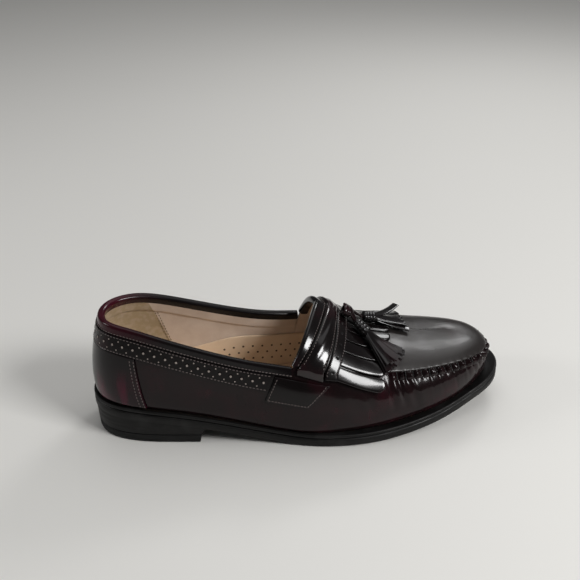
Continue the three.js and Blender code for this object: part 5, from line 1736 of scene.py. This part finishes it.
@dataclass
class Ornament:
    """The thong's knot, its two arms and the tassels."""

    outer: TasselSizes = TasselSizes(LATERAL, 10.0, -42.0)
    inner: TasselSizes = TasselSizes(MEDIAL, 15.0, 12.0)
    thong_width: float = 4.5
    thong_wall: float = 1.8

    def lay(self, flat: Array) -> Array:
        """Moves points from the flat frame of the knot onto the shoe."""
        x = S.corner_at + S.knot_at + flat[..., 0]
        return LAST.aside(x, flat[..., 1] - S.knot_aside, S.ornament_floor + flat[..., 2])

    @staticmethod
    def turned(flat: Array, degrees: float) -> Array:
        """Turns points of the flat frame about the knot."""
        c, s = math.cos(math.radians(degrees)), math.sin(math.radians(degrees))
        return flat @ np.array([[c, s, 0], [-s, c, 0], [0, 0, 1]])

    def band(self, path: Array, width: Array, wall: Array, ups: Array) -> Array:
        """Rings of a flat thong along a path in the flat frame.

        Args:
            path: its middle line.
            width: its width at each point.
            wall: its thickness at each point.
            ups: direction across the thong's thickness at each point.

        Returns:
            The rings of points.
        """
        ahead = np.gradient(path, axis=0)
        ahead /= np.linalg.norm(ahead, axis=1, keepdims=True)
        side = np.cross(ups, ahead)
        side /= np.maximum(np.linalg.norm(side, axis=1, keepdims=True), 1e-9)
        up = np.cross(ahead, side)
        turn = np.linspace(0, 2 * math.pi, 13)[:-1]
        c, s = np.cos(turn), np.sin(turn)
        a = np.sign(c) * np.abs(c) ** 0.6
        b = np.sign(s) * np.abs(s) ** 0.6
        return (path[:, None] + side[:, None] * (a[None, :, None] * width[:, None, None] / 2)
                + up[:, None] * (b[None, :, None] * wall[:, None, None] / 2))

    def knot(self) -> None:
        """Two thongs wound round each other, each with an arm to its tassel."""
        for sizes, lean in ((self.outer, 1), (self.inner, -1)):
            n = 90
            t = np.linspace(0, 1, n)
            wind = 2 * math.pi * 1.15 * (1 - t / 0.72) * (t < 0.72)
            radius_y, radius_z = 4.0, 2.7
            x = lean * -1.5 + lean * 2.6 * (t - 0.3)
            coil = np.column_stack([x, lean * radius_y * np.sin(wind), radius_z * np.cos(wind) + 3.2])
            arm_end = self.turned(np.array([[sizes.thong + 0.6, 0, 3.0]]), sizes.turn)[0]
            blend = smoothstep(t, 0.6, 1.0)[:, None]
            arm_start = coil[int(0.72 * n) - 1]
            straight = arm_start + (arm_end - arm_start) * np.clip((t - 0.66) / 0.34, 0, 1)[:, None]
            path = coil * (1 - blend) + straight * blend
            ups = path - np.array([0, 0, 3.2])
            ups[:, 0] *= 0.2
            ups = ups * (1 - blend) + np.array([0, 0, 1.0]) * blend
            ups /= np.maximum(np.linalg.norm(ups, axis=1, keepdims=True), 1e-9)
            width, wall = np.full(n, self.thong_width * 0.85), np.full(n, self.thong_wall)
            rings = self.lay(self.band(path, width, wall, ups))
            name = "thong_outer" if sizes.side == LATERAL else "thong_inner"
            piece = Body().tube(rings).piece(name, Finishes.thong, ["lace_knot"], sharp=50, outwards=True)
            middle = (self.lay(path) + SHIFT) / 1000

    def tassel(self, sizes: TasselSizes) -> None:
        """A wrapped cap and the strips rolled into it."""
        name = "tassel_outer" if sizes.side == LATERAL else "tassel_inner"
        node = "tassel_lateral" if sizes.side == LATERAL else "tassel_medial"
        rng = np.random.default_rng(11 + sizes.side)
        body = Body()
        start = sizes.thong + S.gap
        along = np.array([0, 0.25, 0.9, 1.8, 3.2, 3.6, 4.0, 6.4, 6.8, 7.2, 9.6, 10.0, 10.4, 12.2, 12.8, 13.0])
        wide = np.array([
            0.25, 0.5, 0.72, 0.84, 0.9, 0.84, 0.91, 0.95, 0.89, 0.95, 0.98, 0.92, 0.99, 1.0, 0.97, 0.85,
        ])
        turn = np.linspace(0, 2 * math.pi, 29)[:-1]
        cap = np.stack([np.column_stack([
            np.full(28, start + a), np.cos(turn) * sizes.cap_width / 2 * k,
            sizes.cap_height / 2 + np.sin(turn) * sizes.cap_height / 2 * k,
        ]) for a, k in zip(along, wide)])
        body.tube(self.lay(self.turned(cap, sizes.turn)))
        root = start + sizes.cap_length - 2.5
        for layer in range(3):
            count = sizes.strips - layer
            spread = sizes.spread * (count - 1) / (sizes.strips - 1)
            for i in range(count):
                share = i / (count - 1) - 0.5
                angle = share * spread + rng.uniform(-2.5, 2.5)
                reach = sizes.fringe + 2.5 - layer * 1.6 + rng.uniform(-1.5, 0.8)
                n = 16
                t = np.linspace(0, 1, n)
                rise = sizes.cap_height * 0.5 * (1 - t) ** 1.5 + 0.3
                z = rise + layer * (sizes.strip_wall + 0.12) * (0.55 + 0.45 * t) + rng.uniform(0, 0.7) * t**2
                inward = np.sin(math.radians(angle)) * reach * t * (0.75 + 0.25 * t)
                path = np.column_stack([root + reach * t * math.cos(math.radians(angle * 0.6)), inward, z])
                if sizes.side == MEDIAL and layer == 2 and i == count - 1:
                    path += np.column_stack([0 * t, 4.0 * t**2, 4.5 * t**2])
                width = sizes.strip_width * np.minimum(1, 0.55 + 2.5 * t)
                roll = rng.uniform(-0.25, 0.25) * t
                ups = np.column_stack([0 * t, np.sin(roll), np.cos(roll)])
                strip = self.band(path, width, np.full(n, sizes.strip_wall), ups)
                body.tube(self.lay(self.turned(strip, sizes.turn)))
        body.piece(name, Finishes.tassel, [node], sharp=50, outwards=True)

    def build(self) -> None:
        """Makes knot and tassels."""
        self.knot()
        self.tassel(self.outer)
        self.tassel(self.inner)


@dataclass
class Studio:
    """Camera, floor and lights."""

    eye: tuple[float, float, float] = (90.7, -483.6, 371.0)
    yaw: float = 5.93
    pitch: float = 29.62
    roll: float = -0.86
    focal_pixels: float = 817.3
    frame_pixels: int = 580
    floor_reach: float = 4.0
    floor_drop: float = -0.0004

    def camera(self) -> None:
        """The camera at the photograph's angle."""
        y, p, r = (math.radians(a) for a in (self.yaw, self.pitch, self.roll))
        ahead = Vector((math.sin(y) * math.cos(p), math.cos(y) * math.cos(p), -math.sin(p)))
        level = Vector((math.cos(y), -math.sin(y), 0))
        upright = level.cross(ahead)
        right = math.cos(r) * level + math.sin(r) * upright
        up = -math.sin(r) * level + math.cos(r) * upright
        data = bpy.data.cameras.new("camera")
        data.sensor_width = 36
        data.lens = self.focal_pixels / self.frame_pixels * 36
        data.clip_start = 0.01
        camera = put("camera", data)
        place = (Vector(self.eye) + Vector(SHIFT)) / 1000
        turn = Matrix((right, up, -ahead)).transposed().to_4x4()
        camera.matrix_world = Matrix.Translation(place) @ turn
        bpy.context.scene.camera = camera

    def room(self) -> None:
        """A plain pale floor."""
        mesh = bpy.data.meshes.new("floor")
        half, low = self.floor_reach, self.floor_drop
        mesh.from_pydata([(-half, -half, low), (half, -half, low), (half, half, low), (-half, half, low)], [],
                         [(0, 1, 2, 3)])
        paper = bpy.data.materials.new("pale paper")
        paper.use_nodes = True
        tree = Tree(paper.node_tree)
        shader = paper.node_tree.nodes["Principled BSDF"]
        cloud = tree.noise(tree.place, 2.5, 2.0)
        tree.link(tree.mix(cloud, (0.82, 0.81, 0.78, 1), (0.84, 0.83, 0.8, 1)), shader.inputs["Base Color"])
        shader.inputs["Roughness"].default_value = 0.75
        mesh.materials.append(paper)
        put("floor", mesh)

    def light(self, name: str, way: Sequence[float], size: tuple[float, float], power: float,
              distance: float) -> None:
        """Sets an area light over the shoe.

        Args:
            name: its name.
            way: direction from the shoe to the lamp.
            size: its width and height in metres.
            power: its power in watts.
            distance: its distance in metres.
        """
        data = bpy.data.lights.new(name, "AREA")
        data.shape = "RECTANGLE"
        data.size, data.size_y = size
        data.energy = power
        lamp = put(name, data)
        lamp.location = Vector(way).normalized() * distance
        lamp.rotation_euler = (-lamp.location).to_track_quat("-Z", "Y").to_euler()

    def build(self) -> None:
        """Sets floor, lights and world."""
        self.room()
        self.light("ceiling", (0.1, 0.35, 1.0), (3.0, 2.6), 21.0, 2.6)
        self.light("back window", (0.41, 0.66, 0.62), (0.32, 0.26), 2.3, 1.3)
        self.light("front window", (0.59, -0.48, 0.65), (0.44, 0.36), 10.0, 1.3)
        self.light("heel window", (-0.85, 0.08, 0.45), (0.3, 0.3), 2.6, 1.3)
        world = bpy.data.worlds.new("studio")
        world.use_nodes = True
        tree = Tree(world.node_tree)
        glow = world.node_tree.nodes["Background"]
        glow.inputs["Color"].default_value = (0.95, 0.95, 0.95, 1)
        glow.inputs["Strength"].default_value = 0.1
        wall = tree.add("ShaderNodeBackground", {"Color": (0.95, 0.95, 0.93, 1), "Strength": 0.6})
        seen = tree.add("ShaderNodeLightPath").outputs["Is Camera Ray"]
        both = tree.add("ShaderNodeMixShader", {0: seen, 1: glow.outputs[0], 2: wall.outputs[0]})
        tree.link(both.outputs[0], world.node_tree.nodes["World Output"].inputs["Surface"])
        bpy.context.scene.world = world
        bpy.context.scene.view_settings.view_transform = "Standard"
        bpy.context.scene.view_settings.gamma = 0.9


def main() -> None:
    """Builds the shoe piece by piece."""
    logging.basicConfig(level=logging.INFO, format="%(name)s: %(message)s")
    studio = Studio()
    studio.camera()
    Ornament().build()
    Bottom().build()
    upper = Upper()
    upper.build()
    Overlays(upper).build()
    Front().build()
    studio.build()


if __name__ == "__main__":
    main()
